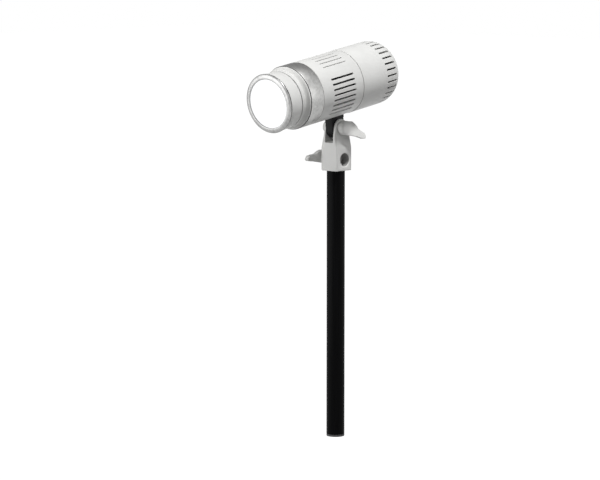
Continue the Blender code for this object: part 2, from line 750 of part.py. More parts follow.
def make_lens_barrel(head_axis):
    """Stepped barrel: two bands, a throat, a thin lip, and a sleeve inside the ring."""
    lip_rear = RING_FRONT - 0.5
    groove = lip_rear - 11.9
    profile = [(BARREL_FRONT, 32.9), (BARREL_FRONT, 34.5), (BARREL_FRONT + 0.3, 34.8), (groove, 34.0),
               (groove, 33.1), (groove + 0.8, 33.1), (groove + 0.8, 34.2), (groove + 5.6, 34.2),
               (groove + 6.4, 33.1), (groove + 7.7, 33.1), (groove + 9.3, 34.7), (groove + 10.3, LIP_RADIUS),
               (lip_rear, LIP_RADIUS), (lip_rear, SLEEVE_RADIUS), (SLEEVE_END, SLEEVE_RADIUS),
               (SLEEVE_END, SLEEVE_BORE), (BARREL_STEP, SLEEVE_BORE), (BARREL_STEP, 32.9)]
    barrel = turned("lens_barrel", profile, "Y", pale_paint(), ROUND, parent=head_axis)
    for number, angle in enumerate(pin_angles()):
        hole = bar_tool("pin_hole_cutter_%d" % number, 30, 36, PIN_RADIUS + GAP, "Z", 10,
                        parent=head_axis, location=(0, PIN_STATION, 0), rotation=around(angle))
        combine(barrel, hole)
    return barrel


def make_cam_pins(head_axis):
    """Pins that stand in the sleeve, cross the guide and end in the ring's grooves."""
    for number, angle in enumerate(pin_angles()):
        rod("cam_pin_%d" % (number + 1), SLEEVE_BORE + 0.3, RING_GROOVE_FLOOR - 0.4, PIN_RADIUS, "Z",
            bright_steel(), parent=head_axis, location=(0, PIN_STATION, 0), rotation=around(angle))


def make_front_bezel(head_axis):
    """Rim with a round shoulder and a threaded skirt that goes into the barrel."""
    rear = BARREL_FRONT - 0.7
    skirt_end = BARREL_STEP - 0.4
    skirt_bore = LENS_RADIUS + 0.4
    profile = [(BEZEL_FRONT + 0.9, BEZEL_OPENING), (BEZEL_FRONT, BEZEL_OPENING + 0.7),
               (BEZEL_FRONT, 33.1)]
    profile += [(BEZEL_FRONT + 1.5 - 1.5 * cos(angle), BEZEL_RADIUS - 2.4 + 2.4 * sin(angle))
                for angle in (radians(30), radians(60), radians(90))]
    profile += [(rear, BEZEL_RADIUS), (rear, 32.5), (skirt_end, 32.5), (skirt_end, skirt_bore),
                (BEZEL_FRONT + 1.4, skirt_bore), (BEZEL_FRONT + 1.4, BEZEL_OPENING)]
    return turned("front_bezel", profile, "Y", brushed_aluminium(), ROUND, parent=head_axis)


def make_front_lens(head_axis):
    """Frosted disc, slightly domed behind."""
    front = BEZEL_FRONT + 1.7
    dome = 1.6
    dome_radius = 29.0
    profile = [(front, 0), (front, LENS_RADIUS - 0.3), (front + 0.3, LENS_RADIUS), (front + LENS_EDGE, LENS_RADIUS)]
    for index in range(5):
        share = 1 - index / 4
        profile.append((front + LENS_EDGE + dome * (1 - share ** 2), dome_radius * share))
    return turned("front_lens", profile, "Y", frosted_glass(), INNER, parent=head_axis)


def make_lens_retainer(head_axis):
    """Ring that holds the lens in the bezel."""
    front = BEZEL_FRONT + 1.7 + LENS_EDGE + GAP
    rear = front + 2.2
    profile = [(front, 29.4), (front, LENS_RADIUS + 0.1), (rear, LENS_RADIUS + 0.1), (rear, 29.4)]
    return turned("lens_retainer", profile, "Y", black_anodised(), INNER, parent=head_axis)


# Light engine


def make_reflector(head_axis):
    """Bowl that throws the light forward, wall along a parabola."""
    throat = 11.6
    mouth = 30.2
    depth = 27.0
    wall = 1.1
    inner = []
    steps = 5
    for index in range(steps + 1):
        radius = throat + (mouth - throat) * index / steps
        share = (radius ** 2 - throat ** 2) / (mouth ** 2 - throat ** 2)
        inner.append((REFLECTOR_REAR - depth * share, radius))
    outer = [(station, radius + wall) for station, radius in reversed(inner)]
    return turned("reflector", inner + outer, "Y", mirror_metal(), 24, parent=head_axis)


def make_led(head_axis):
    """Board, phosphor disc and holder on the heat sink's face."""
    back = SINK_FRONT - GAP
    half = 13.5
    face = back - 1.6
    piece("led_board", block_bmesh((-half, face, -half), (half, back, half)), pale_plastic(), parent=head_axis)
    rod("led_phosphor", face - GAP - 0.9, face - GAP, 8.5, "Y", phosphor(), 16, parent=head_axis)
    lid = face - GAP
    top = REFLECTOR_REAR + GAP
    profile = [(top, 10.2), (top, 22.0), (back, 22.0), (back, 19.6), (lid, 19.6), (lid, 10.2)]
    turned("cob_holder", profile, "Y", pale_plastic(), 24, parent=head_axis)


def make_heat_sink(head_axis):
    """Disc base with a core and radial fins, open between the fins."""
    fins_start = SINK_FRONT + SINK_BASE
    outline = []
    for index in range(SINK_FINS):
        middle = tau * index / SINK_FINS
        root = SINK_FIN_THICKNESS / 2 / SINK_CORE_RADIUS
        tip = SINK_FIN_THICKNESS / 2 / SINK_FIN_RADIUS
        for radius, angle in ((SINK_CORE_RADIUS, middle - root), (SINK_FIN_RADIUS, middle - tip),
                              (SINK_FIN_RADIUS, middle + tip), (SINK_CORE_RADIUS, middle + root)):
            outline.append((radius * sin(angle), radius * cos(angle)))
    fins = piece("heat_sink", plate_bmesh(outline, fins_start - 1.0, SINK_FIN_END, "Y"),
                 black_anodised(), parent=head_axis)
    base = bar_tool("sink_base_guide", SINK_FRONT, fins_start, SINK_BASE_RADIUS, "Y", INNER, parent=head_axis)
    combine(fins, base, "UNION")
    return fins


# Cooling fan


def make_fan_bracket(head_axis):
    """Ring plate behind the coupling ring that the fan bolts to."""
    front = JOINT_REAR + GAP
    rim = CAP_RADIUS - CAP_WALL - GAP
    profile = [(front, FAN_BORE), (front, rim), (FAN_BRACKET_REAR, rim), (FAN_BRACKET_REAR, FAN_BORE)]
    bracket = turned("fan_bracket", profile, "Y", black_anodised(), INNER, parent=head_axis)
    for number, (x, z) in enumerate(fan_corners()):
        combine(bracket, bar_tool("bracket_fan_cutter_%d" % number, front - 5, FAN_BRACKET_REAR + 5, FAN_HOLE,
                                  "Y", 8, parent=head_axis, location=(x, 0, z)))
    return bracket


def fan_corners():
    """Centres of the fan's four screw holes."""
    return [(x * FAN_SCREW_OFFSET, z * FAN_SCREW_OFFSET) for x, z in ((1, 1), (-1, 1), (-1, -1), (1, -1))]


def make_fan_frame(head_axis):
    """Square frame with a round duct, four struts and a motor plate at the rear."""
    half = FAN_SIDE / 2
    rear = FAN_FRONT + FAN_DEPTH
    blank = block_bmesh((-half, FAN_FRONT, -half), (half, rear, half))
    round_edges(blank, edges_along(blank, 1), 3.5, 3)
    frame = piece("fan_frame", blank, black_plastic(), parent=head_axis)
    combine(frame, bar_tool("fan_duct_cutter", FAN_FRONT - 5, rear + 5, FAN_BORE, "Y", 32, parent=head_axis))
    for number, (x, z) in enumerate(fan_corners()):
        combine(frame, bar_tool("fan_hole_cutter_%d" % number, FAN_FRONT - 5, rear + 5, FAN_HOLE, "Y", 8,
                                parent=head_axis, location=(x, 0, z)))
    for number in range(2):
        strut = piece("fan_strut_guide_%d" % number,
                      block_bmesh((-half + 0.8, rear - 2.4, -1.3), (half - 0.8, rear - 0.2, 1.3)), None,
                      parent=head_axis, rotation=around(45 + 90 * number))
        combine(frame, strut, "UNION")
    combine(frame, bar_tool("fan_motor_guide", rear - 2.8, rear - 0.1, 11.0, "Y", 20, parent=head_axis), "UNION")
    combine(frame, bar_tool("fan_shaft_cutter", rear - 8, rear - 1.0, 1.8, "Y", 10, parent=head_axis))
    return frame


def make_fan_rotor(head_axis):
    """Cup hub with twisted blades and a bore for the shaft."""
    front = FAN_FRONT + 1.2
    rear = FAN_FRONT + FAN_DEPTH - 3.4
    hub = FAN_HUB
    profile = [(front, 0), (front, hub - 1.2), (front + 1.2, hub), (rear, hub), (rear, hub - 1.4),
               (front + 1.8, hub - 1.4), (front + 1.8, 3.6), (rear - 2.0, 3.6), (rear - 2.0, 1.9),
               (front + 2.4, 1.9), (front + 2.4, 0)]
    rotor = turned("fan_rotor", profile, "Y", black_plastic(), 21, parent=head_axis)
    length = 10.0
    middle = (front + rear) / 2
    root = hub - 0.9
    tip = FAN_BORE - 0.9
    blades = bmesh.new()
    for index in range(FAN_BLADES):
        blade = block_bmesh((-0.6, -length / 2, root), (0.6, length / 2, tip))
        cuts = edges_along(blade, 1)
        bmesh.ops.subdivide_edges(blade, edges=cuts, cuts=2, use_grid_fill=True)
        bmesh.ops.subdivide_edges(blade, edges=edges_along(blade, 2), cuts=1, use_grid_fill=True)
        for corner in blade.verts:
            share = (corner.co.z - root) / (tip - root)
            pitch = radians(52 - 18 * share)
            sweep = corner.co.y / length
            corner.co = Matrix.Rotation(pitch, 3, "Z") @ corner.co
            corner.co.x += 2.2 * (sweep * sweep - 0.08) * 1.6
            corner.co.y += middle
        bmesh.ops.rotate(blade, verts=blade.verts,
                         matrix=Matrix.Rotation(tau * index / FAN_BLADES, 3, "Y"))
        stock = bpy.data.meshes.new("blade_stock")
        blade.to_mesh(stock)
        blade.free()
        blades.from_mesh(stock)
        bpy.data.meshes.remove(stock)
    wings = piece("fan_blade_guide", blades, None, parent=head_axis)
    combine(rotor, wings, "UNION")
    return rotor


def make_fan_fittings(head_axis):
    """Shaft, and one screw in each corner."""
    rear = FAN_FRONT + FAN_DEPTH
    rod("fan_shaft", FAN_FRONT + 4.2, rear - 1.4, 1.4, "Y", bright_steel(), 10, parent=head_axis)
    for number, (x, z) in enumerate(fan_corners()):
        profile = [(JOINT_REAR + 0.8, 0), (JOINT_REAR + 0.8, 1.5), (rear + GAP, 1.5), (rear + GAP, 2.9),
                   (rear + 2.2, 2.9), (rear + 2.2, 0)]
        turned("fan_screw_%d" % (number + 1), profile, "Y", bright_steel(), 8,
               parent=head_axis, location=(x, 0, z))


# Driver board


def make_board_posts(head_axis):
    """Four posts from the fan bracket to the board."""
    for number in range(4):
        angle = radians(90 * number)
        rod("board_post_%d" % (number + 1), FAN_FRONT, BOARD_FRONT - GAP, POST_RADIUS, "Y", brass(), 6,
            parent=head_axis, location=(POST_ORBIT * sin(angle), 0, POST_ORBIT * cos(angle)))


def make_driver_board(head_axis):
    """Round board with a hole for the fan's air, and its large parts."""
    rear = BOARD_FRONT + BOARD_THICKNESS
    profile = [(BOARD_FRONT, BOARD_HOLE), (BOARD_FRONT, BOARD_RADIUS), (rear, BOARD_RADIUS), (rear, BOARD_HOLE)]
    turned("driver_board", profile, "Y", board_green(), INNER, parent=head_axis)
    foot = rear + GAP
    ring = [(foot + 3.2 + 3.0 * cos(tau * index / 8), 6.4 + 3.0 * sin(tau * index / 8)) for index in range(8)]
    turned("inductor", ring, "Y", copper(), 18, parent=head_axis, location=(0, 0, 22.4))
    for number, x in enumerate((-21.0, 21.0)):
        rod("capacitor_%d" % (number + 1), foot, foot + 14.0, 5.0, "Y", black_plastic(), 14,
            parent=head_axis, location=(x, 0, 6.0))
    terminal = block_bmesh((-9.0, foot, -27.0), (9.0, foot + 8.0, -19.0))
    round_edges(terminal, edges_along(terminal, 0), 1.0, 2)
    piece("terminal_block", terminal, board_green(), parent=head_axis)


# Controls


def make_dimmer(head_axis):
    """Potentiometer inside, shaft through the end wall, knurled knob outside."""
    wall_inner = CAP_END - CAP_DISH_DEPTH - CAP_WALL
    wall_outer = CAP_END - CAP_DISH_DEPTH
    body_front = wall_inner - 8.4
    profile = [(body_front, 0), (body_front, 7.6), (wall_inner - GAP, 7.6), (wall_inner - GAP, 3.5),
               (wall_outer + 1.4, 3.5), (wall_outer + 1.4, 2.2), (wall_inner - 4, 2.2), (wall_inner - 4, 0)]
    turned("dimmer_pot", profile, "Y", bright_steel(), 20, parent=head_axis)
    rod("dimmer_shaft", wall_inner - 3.6, wall_outer + 7.0, 1.8, "Y", bright_steel(), 10, parent=head_axis)
    start = wall_outer + 0.6
    end = wall_outer + 0.6 + KNOB_LENGTH
    flutes = 14
    outline = []
    for index in range(flutes * 4):
        angle = tau * index / (flutes * 4)
        radius = KNOB_RADIUS - (0.45 if index % 4 in (0, 1) else 0.0)
        outline.append((radius * sin(angle), radius * cos(angle)))
    knob = piece("dimmer_knob", plate_bmesh(outline, start, end, "Y"), black_plastic(), parent=head_axis)
    combine(knob, bar_tool("knob_bore_cutter", start - 2, wall_outer + 7.4, 2.2, "Y", 10, parent=head_axis))
    combine(knob, bar_tool("knob_bush_cutter", start - 2, wall_outer + 1.9, 4.2, "Y", 14, parent=head_axis))
    mark = piece("knob_mark_cutter", block_bmesh((-0.5, end - 0.6, 2.6), (0.5, end + 2, 12.0)), None,
                 parent=head_axis)
    combine(knob, mark)


def make_rocker(head_axis):
    """Snap-in frame with a rocking button on a cross axis."""
    face = CAP_END - CAP_DISH_DEPTH
    low = face + GAP
    blank = block_bmesh((-7.6, low, -5.3), (7.6, low + 1.6, 5.3))
    frame = piece("rocker_frame", blank, black_plastic(), parent=head_axis, location=(0, 0, ROCKER_HEIGHT))
    box = piece("rocker_box_guide", block_bmesh((-6.5, face - 12.0, -4.2), (6.5, low + 0.4, 4.2)), None,
                parent=head_axis, location=(0, 0, ROCKER_HEIGHT))
    combine(frame, box, "UNION")
    window = piece("rocker_well_cutter", block_bmesh((-5.4, face - 8.0, -3.3), (5.4, low + 4, 3.3)), None,
                   parent=head_axis, location=(0, 0, ROCKER_HEIGHT))
    combine(frame, window)
    outline = [(-4.2, 0.2), (-3.2, -1.6), (3.2, -1.6), (4.2, 0.2), (4.3, 4.5), (0.0, 4.2), (-4.3, 4.5)]
    rocker = bmesh.new()
    corners = [rocker.verts.new((x, y, -2.9)) for x, y in outline]
    sheet = rocker.faces.new(corners)
    grown = bmesh.ops.extrude_face_region(rocker, geom=[sheet])
    moved = [item for item in grown["geom"] if isinstance(item, bmesh.types.BMVert)]
    bmesh.ops.translate(rocker, vec=(0, 0, 5.8), verts=moved)
    lean = Matrix.Rotation(radians(-ROCKER_SWING / 2), 3, "Z")
    bmesh.ops.rotate(rocker, verts=rocker.verts, matrix=lean)
    piece("rocker_button", rocker, black_plastic(), parent=head_axis,
          location=(0, face - ROCKER_AXIS_DEPTH, ROCKER_HEIGHT))


def make_inlet(head_axis):
    """Round power jack with its centre pin."""
    face = CAP_END - CAP_DISH_DEPTH
    profile = [(face - 12.0, 0), (face - 12.0, 4.0), (face + GAP, 4.0), (face + GAP, 5.6), (face + 1.4, 5.6),
               (face + 1.9, 5.1), (face + 1.9, 2.9), (face - 9.0, 2.9), (face - 9.0, 0)]
    place = {"parent": head_axis, "location": (0, 0, INLET_HEIGHT)}
    turned("power_inlet", profile, "Y", black_plastic(), 20, **place)
    rod("inlet_pin", face - 8.7, face - 0.6, 1.05, "Y", bright_steel(), 8, **place)


def build():
    clear_scene()
    make_stand_tube()
    make_tube_end_plug()
    make_spigot_stud()
    make_clamp_fork()
    lock_axis = empty("lock_axis", (0, 0, SOCKET_HEIGHT))
    make_lock_lever(lock_axis)
    clamp_pivot = empty("clamp_pivot", (0, 0, PIVOT_HEIGHT))
    make_tilt_bolt(clamp_pivot)
    make_bolt_cap(clamp_pivot)
    make_washers(clamp_pivot)
    make_tilt_lever(clamp_pivot)
    head_pivot = empty("head_pivot", (0, 0, PIVOT_HEIGHT), rotation=(radians(HEAD_PITCH), 0, 0))
    make_tilt_bracket(head_pivot)
    make_bracket_screws(head_pivot)
    head_axis = empty("head_axis", (0, 0, HEAD_RISE), parent=head_pivot)
    make_body_shell(head_axis)
    make_joint_ring(head_axis)
    make_rear_cap(head_axis)
    make_focus_ring(head_axis)
    make_guide_tube(head_axis)
    make_lens_barrel(head_axis)
    make_cam_pins(head_axis)
    make_front_bezel(head_axis)
    make_front_lens(head_axis)
    make_lens_retainer(head_axis)
    make_reflector(head_axis)
    make_led(head_axis)
    make_heat_sink(head_axis)
    make_fan_bracket(head_axis)
    make_fan_frame(head_axis)
    make_fan_rotor(head_axis)
    make_fan_fittings(head_axis)
    make_board_posts(head_axis)
    make_driver_board(head_axis)
    make_dimmer(head_axis)
    make_rocker(head_axis)
    make_inlet(head_axis)


build()
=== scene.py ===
"""LED photography spotlight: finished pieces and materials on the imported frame."""

import json
from math import acos, atan2, cos, hypot, pi, radians, sin, sqrt, tau

import bmesh
import bpy
from mathutils import Matrix, Vector

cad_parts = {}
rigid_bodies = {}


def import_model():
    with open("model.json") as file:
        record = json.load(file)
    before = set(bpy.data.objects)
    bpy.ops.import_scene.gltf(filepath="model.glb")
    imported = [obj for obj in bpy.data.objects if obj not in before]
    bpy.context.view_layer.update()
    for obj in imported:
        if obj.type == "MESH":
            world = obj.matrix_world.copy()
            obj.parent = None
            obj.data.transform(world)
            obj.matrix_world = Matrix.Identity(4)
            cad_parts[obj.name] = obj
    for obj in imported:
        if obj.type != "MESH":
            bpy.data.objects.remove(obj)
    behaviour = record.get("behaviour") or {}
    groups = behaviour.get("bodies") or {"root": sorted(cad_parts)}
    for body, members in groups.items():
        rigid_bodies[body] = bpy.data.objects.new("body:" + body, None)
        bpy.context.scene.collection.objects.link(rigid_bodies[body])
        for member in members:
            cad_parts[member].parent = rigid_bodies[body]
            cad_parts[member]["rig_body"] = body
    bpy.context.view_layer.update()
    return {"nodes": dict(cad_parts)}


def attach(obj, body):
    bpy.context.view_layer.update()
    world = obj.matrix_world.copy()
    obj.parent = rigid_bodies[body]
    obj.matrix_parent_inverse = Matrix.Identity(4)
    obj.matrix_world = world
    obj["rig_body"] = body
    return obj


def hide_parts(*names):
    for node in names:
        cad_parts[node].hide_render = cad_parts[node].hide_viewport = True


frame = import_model()
nodes = frame["nodes"]

MM = 0.001

# Points nearer than this count as being in the same place, in millimetres
NEAR = 0.01

# Sizes shared by several pieces, in millimetres
TUBE_RADIUS = 11.0
TUBE_WALL = 1.5
TUBE_FOOT = 2.8
TUBE_TOP = 324.3
CLAMP_BASE = 324.6
CLAMP_HALF_WIDTH = 12.7
CLAMP_FRONT = -12.9
CLAMP_REAR = 14.7
CLAMP_SHOULDER = 353.0
EAR_ROOT = 367.0
EAR_ROOT_FRONT = -12.2
EAR_ROOT_REAR = 14.2
LOCK_HEIGHT = 339.2
SOCKET_HEIGHT = 337.9
SOCKET_OFFSET = 2.0
SOCKET_RADIUS = 8.0
STUD_FOOT = 290.3
STUD_TOP = 352.0
STUD_RADIUS = 8.0
STUD_WAIST = 6.4
PIVOT_HEIGHT = 376.6
HEAD_RISE = 52.5
HEAD_PITCH = 9.1
EAR_OUTER = 9.8
EAR_RADIUS = 10.6
BORE = 4.4
BODY_RADIUS = 38.4
BODY_WALL = 2.0
CAP_RADIUS = 38.85
CAP_WALL = 2.2
CAP_FRONT = 15.8
CAP_BEND_START = 70.0
CAP_BEND_RADIUS = 24.5
CAP_END = 91.6
REAR_FACE = 90.0
RING_RADIUS = 38.4
RING_BORE = 36.4
BRACKET_SCREWS = (-6.6, 3.6)
SCREW_BORE = 1.9
PIN_STATION = -61.2
PIN_RADIUS = 1.5
FOCUS_TRAVEL = 7.0
FOCUS_TURN = 100.0
PIN_ANGLES = (30, 150, 270)
EDGE = 0.35
ROCKER_HEIGHT = 15.6
INLET_HEIGHT = -15.4

# Where each group of pieces is drawn
ON_STAND = Matrix.Identity(4)
ON_LOCK = Matrix.Translation((0, 0, LOCK_HEIGHT))
ON_PIVOT = Matrix.Translation((0, 0, PIVOT_HEIGHT))
ON_TONGUE = ON_PIVOT @ Matrix.Rotation(radians(HEAD_PITCH), 4, "X")
ON_HEAD = ON_TONGUE @ Matrix.Translation((0, 0, HEAD_RISE))


# Shaping


def arc(centre, radius, start, end, steps):
    """Points on an arc, angles in degrees."""
    points = []
    for index in range(steps + 1):
        angle = radians(start + (end - start) * index / steps)
        points.append((centre[0] + radius * cos(angle), centre[1] + radius * sin(angle)))
    return points


def of_kind(items, kind):
    """The vertices, edges or faces among some mesh items."""
    return [item for item in items if isinstance(item, kind)]


def sharp_edges(bm, angle, keep=lambda spot: True):
    """Edges where the surface folds by more than an angle in degrees, if both ends are to keep."""
    bm.normal_update()
    return [edge for edge in bm.edges
            if edge.is_manifold and edge.calc_face_angle() > radians(angle)
            and all(keep(vert.co) for vert in edge.verts)]


def ease(bm, edges, offset, segments=2):
    """Round chosen edges."""
    bmesh.ops.bevel(bm, geom=edges, offset=offset, offset_type="OFFSET", segments=segments,
                    profile=0.5, affect="EDGES", material=-1, clamp_overlap=True)


def clean(bm):
    """Merge doubles and point the faces outwards."""
    bmesh.ops.remove_doubles(bm, verts=bm.verts, dist=0.0005)
    bmesh.ops.recalc_face_normals(bm, faces=bm.faces)
    return bm


# For each axis, its direction and the one in which a radius is laid out
AXES = {
    "X": (Vector((1, 0, 0)), Vector((0, 0, 1))),
    "Y": (Vector((0, 1, 0)), Vector((0, 0, 1))),
    "Z": (Vector((0, 0, 1)), Vector((1, 0, 0))),
}


def turned(profile, axis, segments, edge=0.0, edge_segments=2, angle=25):
    """Spin (station, radius) points about an axis, then round the folds."""
    along, outward = AXES[axis]
    bm = bmesh.new()
    corners = [bm.verts.new(along * station + outward * radius) for station, radius in profile]
    pairs = list(zip(corners, corners[1:]))
    if profile[0][1] > 0 or profile[-1][1] > 0:
        pairs.append((corners[-1], corners[0]))
    for first, second in pairs:
        bm.edges.new((first, second))
    bmesh.ops.spin(bm, geom=bm.verts[:] + bm.edges[:], cent=(0, 0, 0), axis=along,
                   angle=tau, steps=segments, use_merge=True)
    clean(bm)
    if edge:
        ease(bm, sharp_edges(bm, angle), edge, edge_segments)
    return bm


def bar(start, end, radius, axis, segments):
    """A plain round bar between two stations."""
    return turned([(start, 0), (start, radius), (end, radius), (end, 0)], axis, segments)


def block(low, high, edge=0.0, edge_segments=2):
    """A box between two corners, its edges rounded."""
    low = Vector(low)
    high = Vector(high)
    bm = bmesh.new()
    bmesh.ops.create_cube(bm, size=1.0)
    bmesh.ops.scale(bm, vec=high - low, verts=bm.verts)
    bmesh.ops.translate(bm, vec=(high + low) / 2, verts=bm.verts)
    if edge:
        ease(bm, bm.edges[:], edge, edge_segments)
    return bm


def raised(bm, face, closed):
    """A second face walled to the first, which stays as a floor only where it closes the shape."""
    grown = bmesh.ops.extrude_face_region(bm, geom=[face])["geom"]
    if not closed:
        bmesh.ops.delete(bm, geom=[face], context="FACES_ONLY")
    return of_kind(grown, bmesh.types.BMFace)[0]


def plate(outline, low, high, axis):
    """Extrude a flat outline along an axis between two stations."""
    place = {"X": lambda first, second: (low, first, second),
             "Y": lambda first, second: (first, low, second),
             "Z": lambda first, second: (first, second, low)}[axis]
    bm = bmesh.new()
    face = bm.faces.new([bm.verts.new(place(first, second)) for first, second in outline])
    far = raised(bm, face, True)
    bmesh.ops.translate(bm, vec=AXES[axis][0] * (high - low), verts=far.verts)
    return clean(bm)


def turn(bm, angle, axis, centre=(0, 0, 0)):
    """Turn a whole mesh by degrees."""
    bmesh.ops.rotate(bm, verts=bm.verts, cent=centre,
                     matrix=Matrix.Rotation(radians(angle), 3, axis))
    return bm


def shift(bm, x=0.0, y=0.0, z=0.0):
    """Move a whole mesh."""
    bmesh.ops.translate(bm, vec=(x, y, z), verts=bm.verts)
    return bm


def loose(name, bm):
    """A helper object for one cut."""
    mesh = bpy.data.meshes.new(name)
    bm.to_mesh(mesh)
    bm.free()
    made = bpy.data.objects.new(name, mesh)
    bpy.context.scene.collection.objects.link(made)
    return made


def worked(bm, tools, operation="DIFFERENCE"):
    """Cut a shape with tools, or join them to it."""
    stock = loose("stock", bm)
    helpers = [loose("tool", tool) for tool in tools]
    for helper in helpers:
        change = stock.modifiers.new("work", "BOOLEAN")
        change.operation = operation
        change.solver = "EXACT"
        change.object = helper
    result = bmesh.new()
    result.from_object(stock, bpy.context.evaluated_depsgraph_get())
    for helper in (stock, *helpers):
        mesh = helper.data
        bpy.data.objects.remove(helper)
        bpy.data.meshes.remove(mesh)
    return clean(result)


def gathered(shapes):
    """Several shapes as one mesh."""
    whole = bmesh.new()
    for shape in shapes:
        stock = bpy.data.meshes.new("gathered")
        shape.to_mesh(stock)
        shape.free()
        whole.from_mesh(stock)
        bpy.data.meshes.remove(stock)
    return whole


def finished(name, bm, place, node, coats, sharp=32, choose=None):
    """Put a shape in its place as the piece that stands for a node."""
    bmesh.ops.transform(bm, matrix=Matrix.Scale(MM, 4) @ place, verts=bm.verts)
    mesh = bpy.data.meshes.new(name)
    bm.to_mesh(mesh)
    bm.free()
    for coat in coats:
        mesh.materials.append(coat)
    if choose:
        back = (Matrix.Scale(MM, 4) @ place).inverted()
        for face in mesh.polygons:
            face.material_index = choose(back @ face.center)
    mesh.shade_smooth()
    mesh.set_sharp_from_angle(angle=radians(sharp))
    made = bpy.data.objects.new(name, mesh)
    bpy.context.scene.collection.objects.link(made)
    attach(made, nodes[node]["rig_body"])
    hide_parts(node)


# Materials


class Coat:
    """A material while its layers are laid out, measured on the piece in metres."""

    def __init__(self, name, colour, roughness, metallic=0.0, on_head=False):
        self.material = bpy.data.materials.new(name)
        self.material.use_nodes = True
        self.tree = self.material.node_tree
        self.shader = self.tree.nodes["Principled BSDF"]
        self.shader.inputs["Metallic"].default_value = metallic
        self.shader.inputs["Roughness"].default_value = roughness
        self.shader.inputs["Base Color"].default_value = (*colour, 1.0)
        self.colour = colour
        where = self.add("ShaderNodeTexCoord")
        self.spot = where.outputs["Object"]
        if on_head:
            level = self.add("ShaderNodeMapping")
            level.vector_type = "TEXTURE"
            level.inputs["Location"].default_value = ON_HEAD.translation * MM
            level.inputs["Rotation"].default_value = (radians(HEAD_PITCH), 0, 0)
            self.link(self.spot, level.inputs["Vector"])
            self.spot = level.outputs["Vector"]

    def add(self, kind, **settings):
        made = self.tree.nodes.new(kind)
        for key, value in settings.items():
            setattr(made, key, value)
        return made

    def link(self, source, target):
        self.tree.links.new(source, target)

    def maths(self, operation, first, second=None):
        """One sum on sockets or numbers."""
        made = self.add("ShaderNodeMath", operation=operation)
        for socket, value in zip(made.inputs, (first, second)):
            if value is None:
                continue
            if isinstance(value, (int, float)):
                socket.default_value = value
            else:
                self.link(value, socket)
        return made.outputs[0]

    def stretched(self, x, y, z):
        """The position, scaled along each axis."""
        made = self.add("ShaderNodeMapping")
        made.inputs["Scale"].default_value = (x, y, z)
        self.link(self.spot, made.inputs["Vector"])
        return made.outputs["Vector"]

    def from_axis(self):
        """The position's three parts, and its distance from the head's axis."""
        parts = self.add("ShaderNodeSeparateXYZ")
        self.link(self.spot, parts.inputs[0])
        x, y, z = parts.outputs
        squares = self.maths("ADD", self.maths("MULTIPLY", x, x), self.maths("MULTIPLY", z, z))
        return x, y, z, self.maths("SQRT", squares)

    def around_axis(self, fine, coarse):
        """Position for marks that run round the head's axis, on its sides and its faces."""
        x, y, z, reach = self.from_axis()
        across = self.maths("ADD", y, reach)
        joined = self.add("ShaderNodeCombineXYZ")
        self.link(self.maths("MULTIPLY", x, coarse), joined.inputs[0])
        self.link(self.maths("MULTIPLY", across, fine), joined.inputs[1])
        self.link(self.maths("MULTIPLY", z, coarse), joined.inputs[2])
        return joined.outputs[0]

    def noise(self, scale, detail=2.0, rough=0.5, spot=None):
        made = self.add("ShaderNodeTexNoise")
        made.inputs["Scale"].default_value = scale
        made.inputs["Detail"].default_value = detail
        made.inputs["Roughness"].default_value = rough
        self.link(spot or self.spot, made.inputs["Vector"])
        return made.outputs["Fac"]

    def cells(self, scale):
        """Distance to scattered points."""
        made = self.add("ShaderNodeTexVoronoi")
        made.inputs["Scale"].default_value = scale
        self.link(self.spot, made.inputs["Vector"])
        return made.outputs["Distance"]

    def ranged(self, value, start, end, low, high):
        made = self.add("ShaderNodeMapRange")
        for socket, number in zip(made.inputs[1:5], (start, end, low, high)):
            socket.default_value = number
        self.link(value, made.inputs[0])
        return made.outputs[0]

    def spread(self, noise):
        """A noise's middle range, widened to run from nought to one."""
        return self.ranged(noise, 0.35, 0.65, 0.0, 1.0)

    def tint(self, factor, first, second):
        """Blend two colours by a factor, as the base colour or the next layer."""
        made = self.add("ShaderNodeMix", data_type="RGBA")
        self.link(factor, made.inputs[0])
        for socket, colour in zip(made.inputs[6:8], (first, second)):
            if isinstance(colour, tuple):
                socket.default_value = (*colour, 1.0)
            else:
                self.link(colour, socket)
        return made.outputs[2]

    def shade(self, share):
        """The coat's own colour, lighter or darker by a share."""
        return tuple(part * share for part in self.colour)

    def vary(self, factor, low, high):
        """Colour that wanders between two shares of the coat's own."""
        self.paint(self.tint(factor, self.shade(low), self.shade(high)))

    def paint(self, socket):
        self.link(socket, self.shader.inputs["Base Color"])

    def gloss(self, factor, low, high):
        """Roughness that wanders between two values."""
        self.link(self.ranged(factor, 0.3, 0.7, low, high), self.shader.inputs["Roughness"])

    def bump(self, height, depth, strength, under=None):
        made = self.add("ShaderNodeBump")
        made.inputs["Strength"].default_value = strength
        made.inputs["Distance"].default_value = depth
        self.link(height, made.inputs["Height"])
        if under:
            self.link(under, made.inputs["Normal"])
        self.link(made.outputs[0], self.shader.inputs["Normal"])
        return made.outputs[0]

    def set(self, **values):
        for key, value in values.items():
            self.shader.inputs[key.replace("_", " ")].default_value = value
        return self


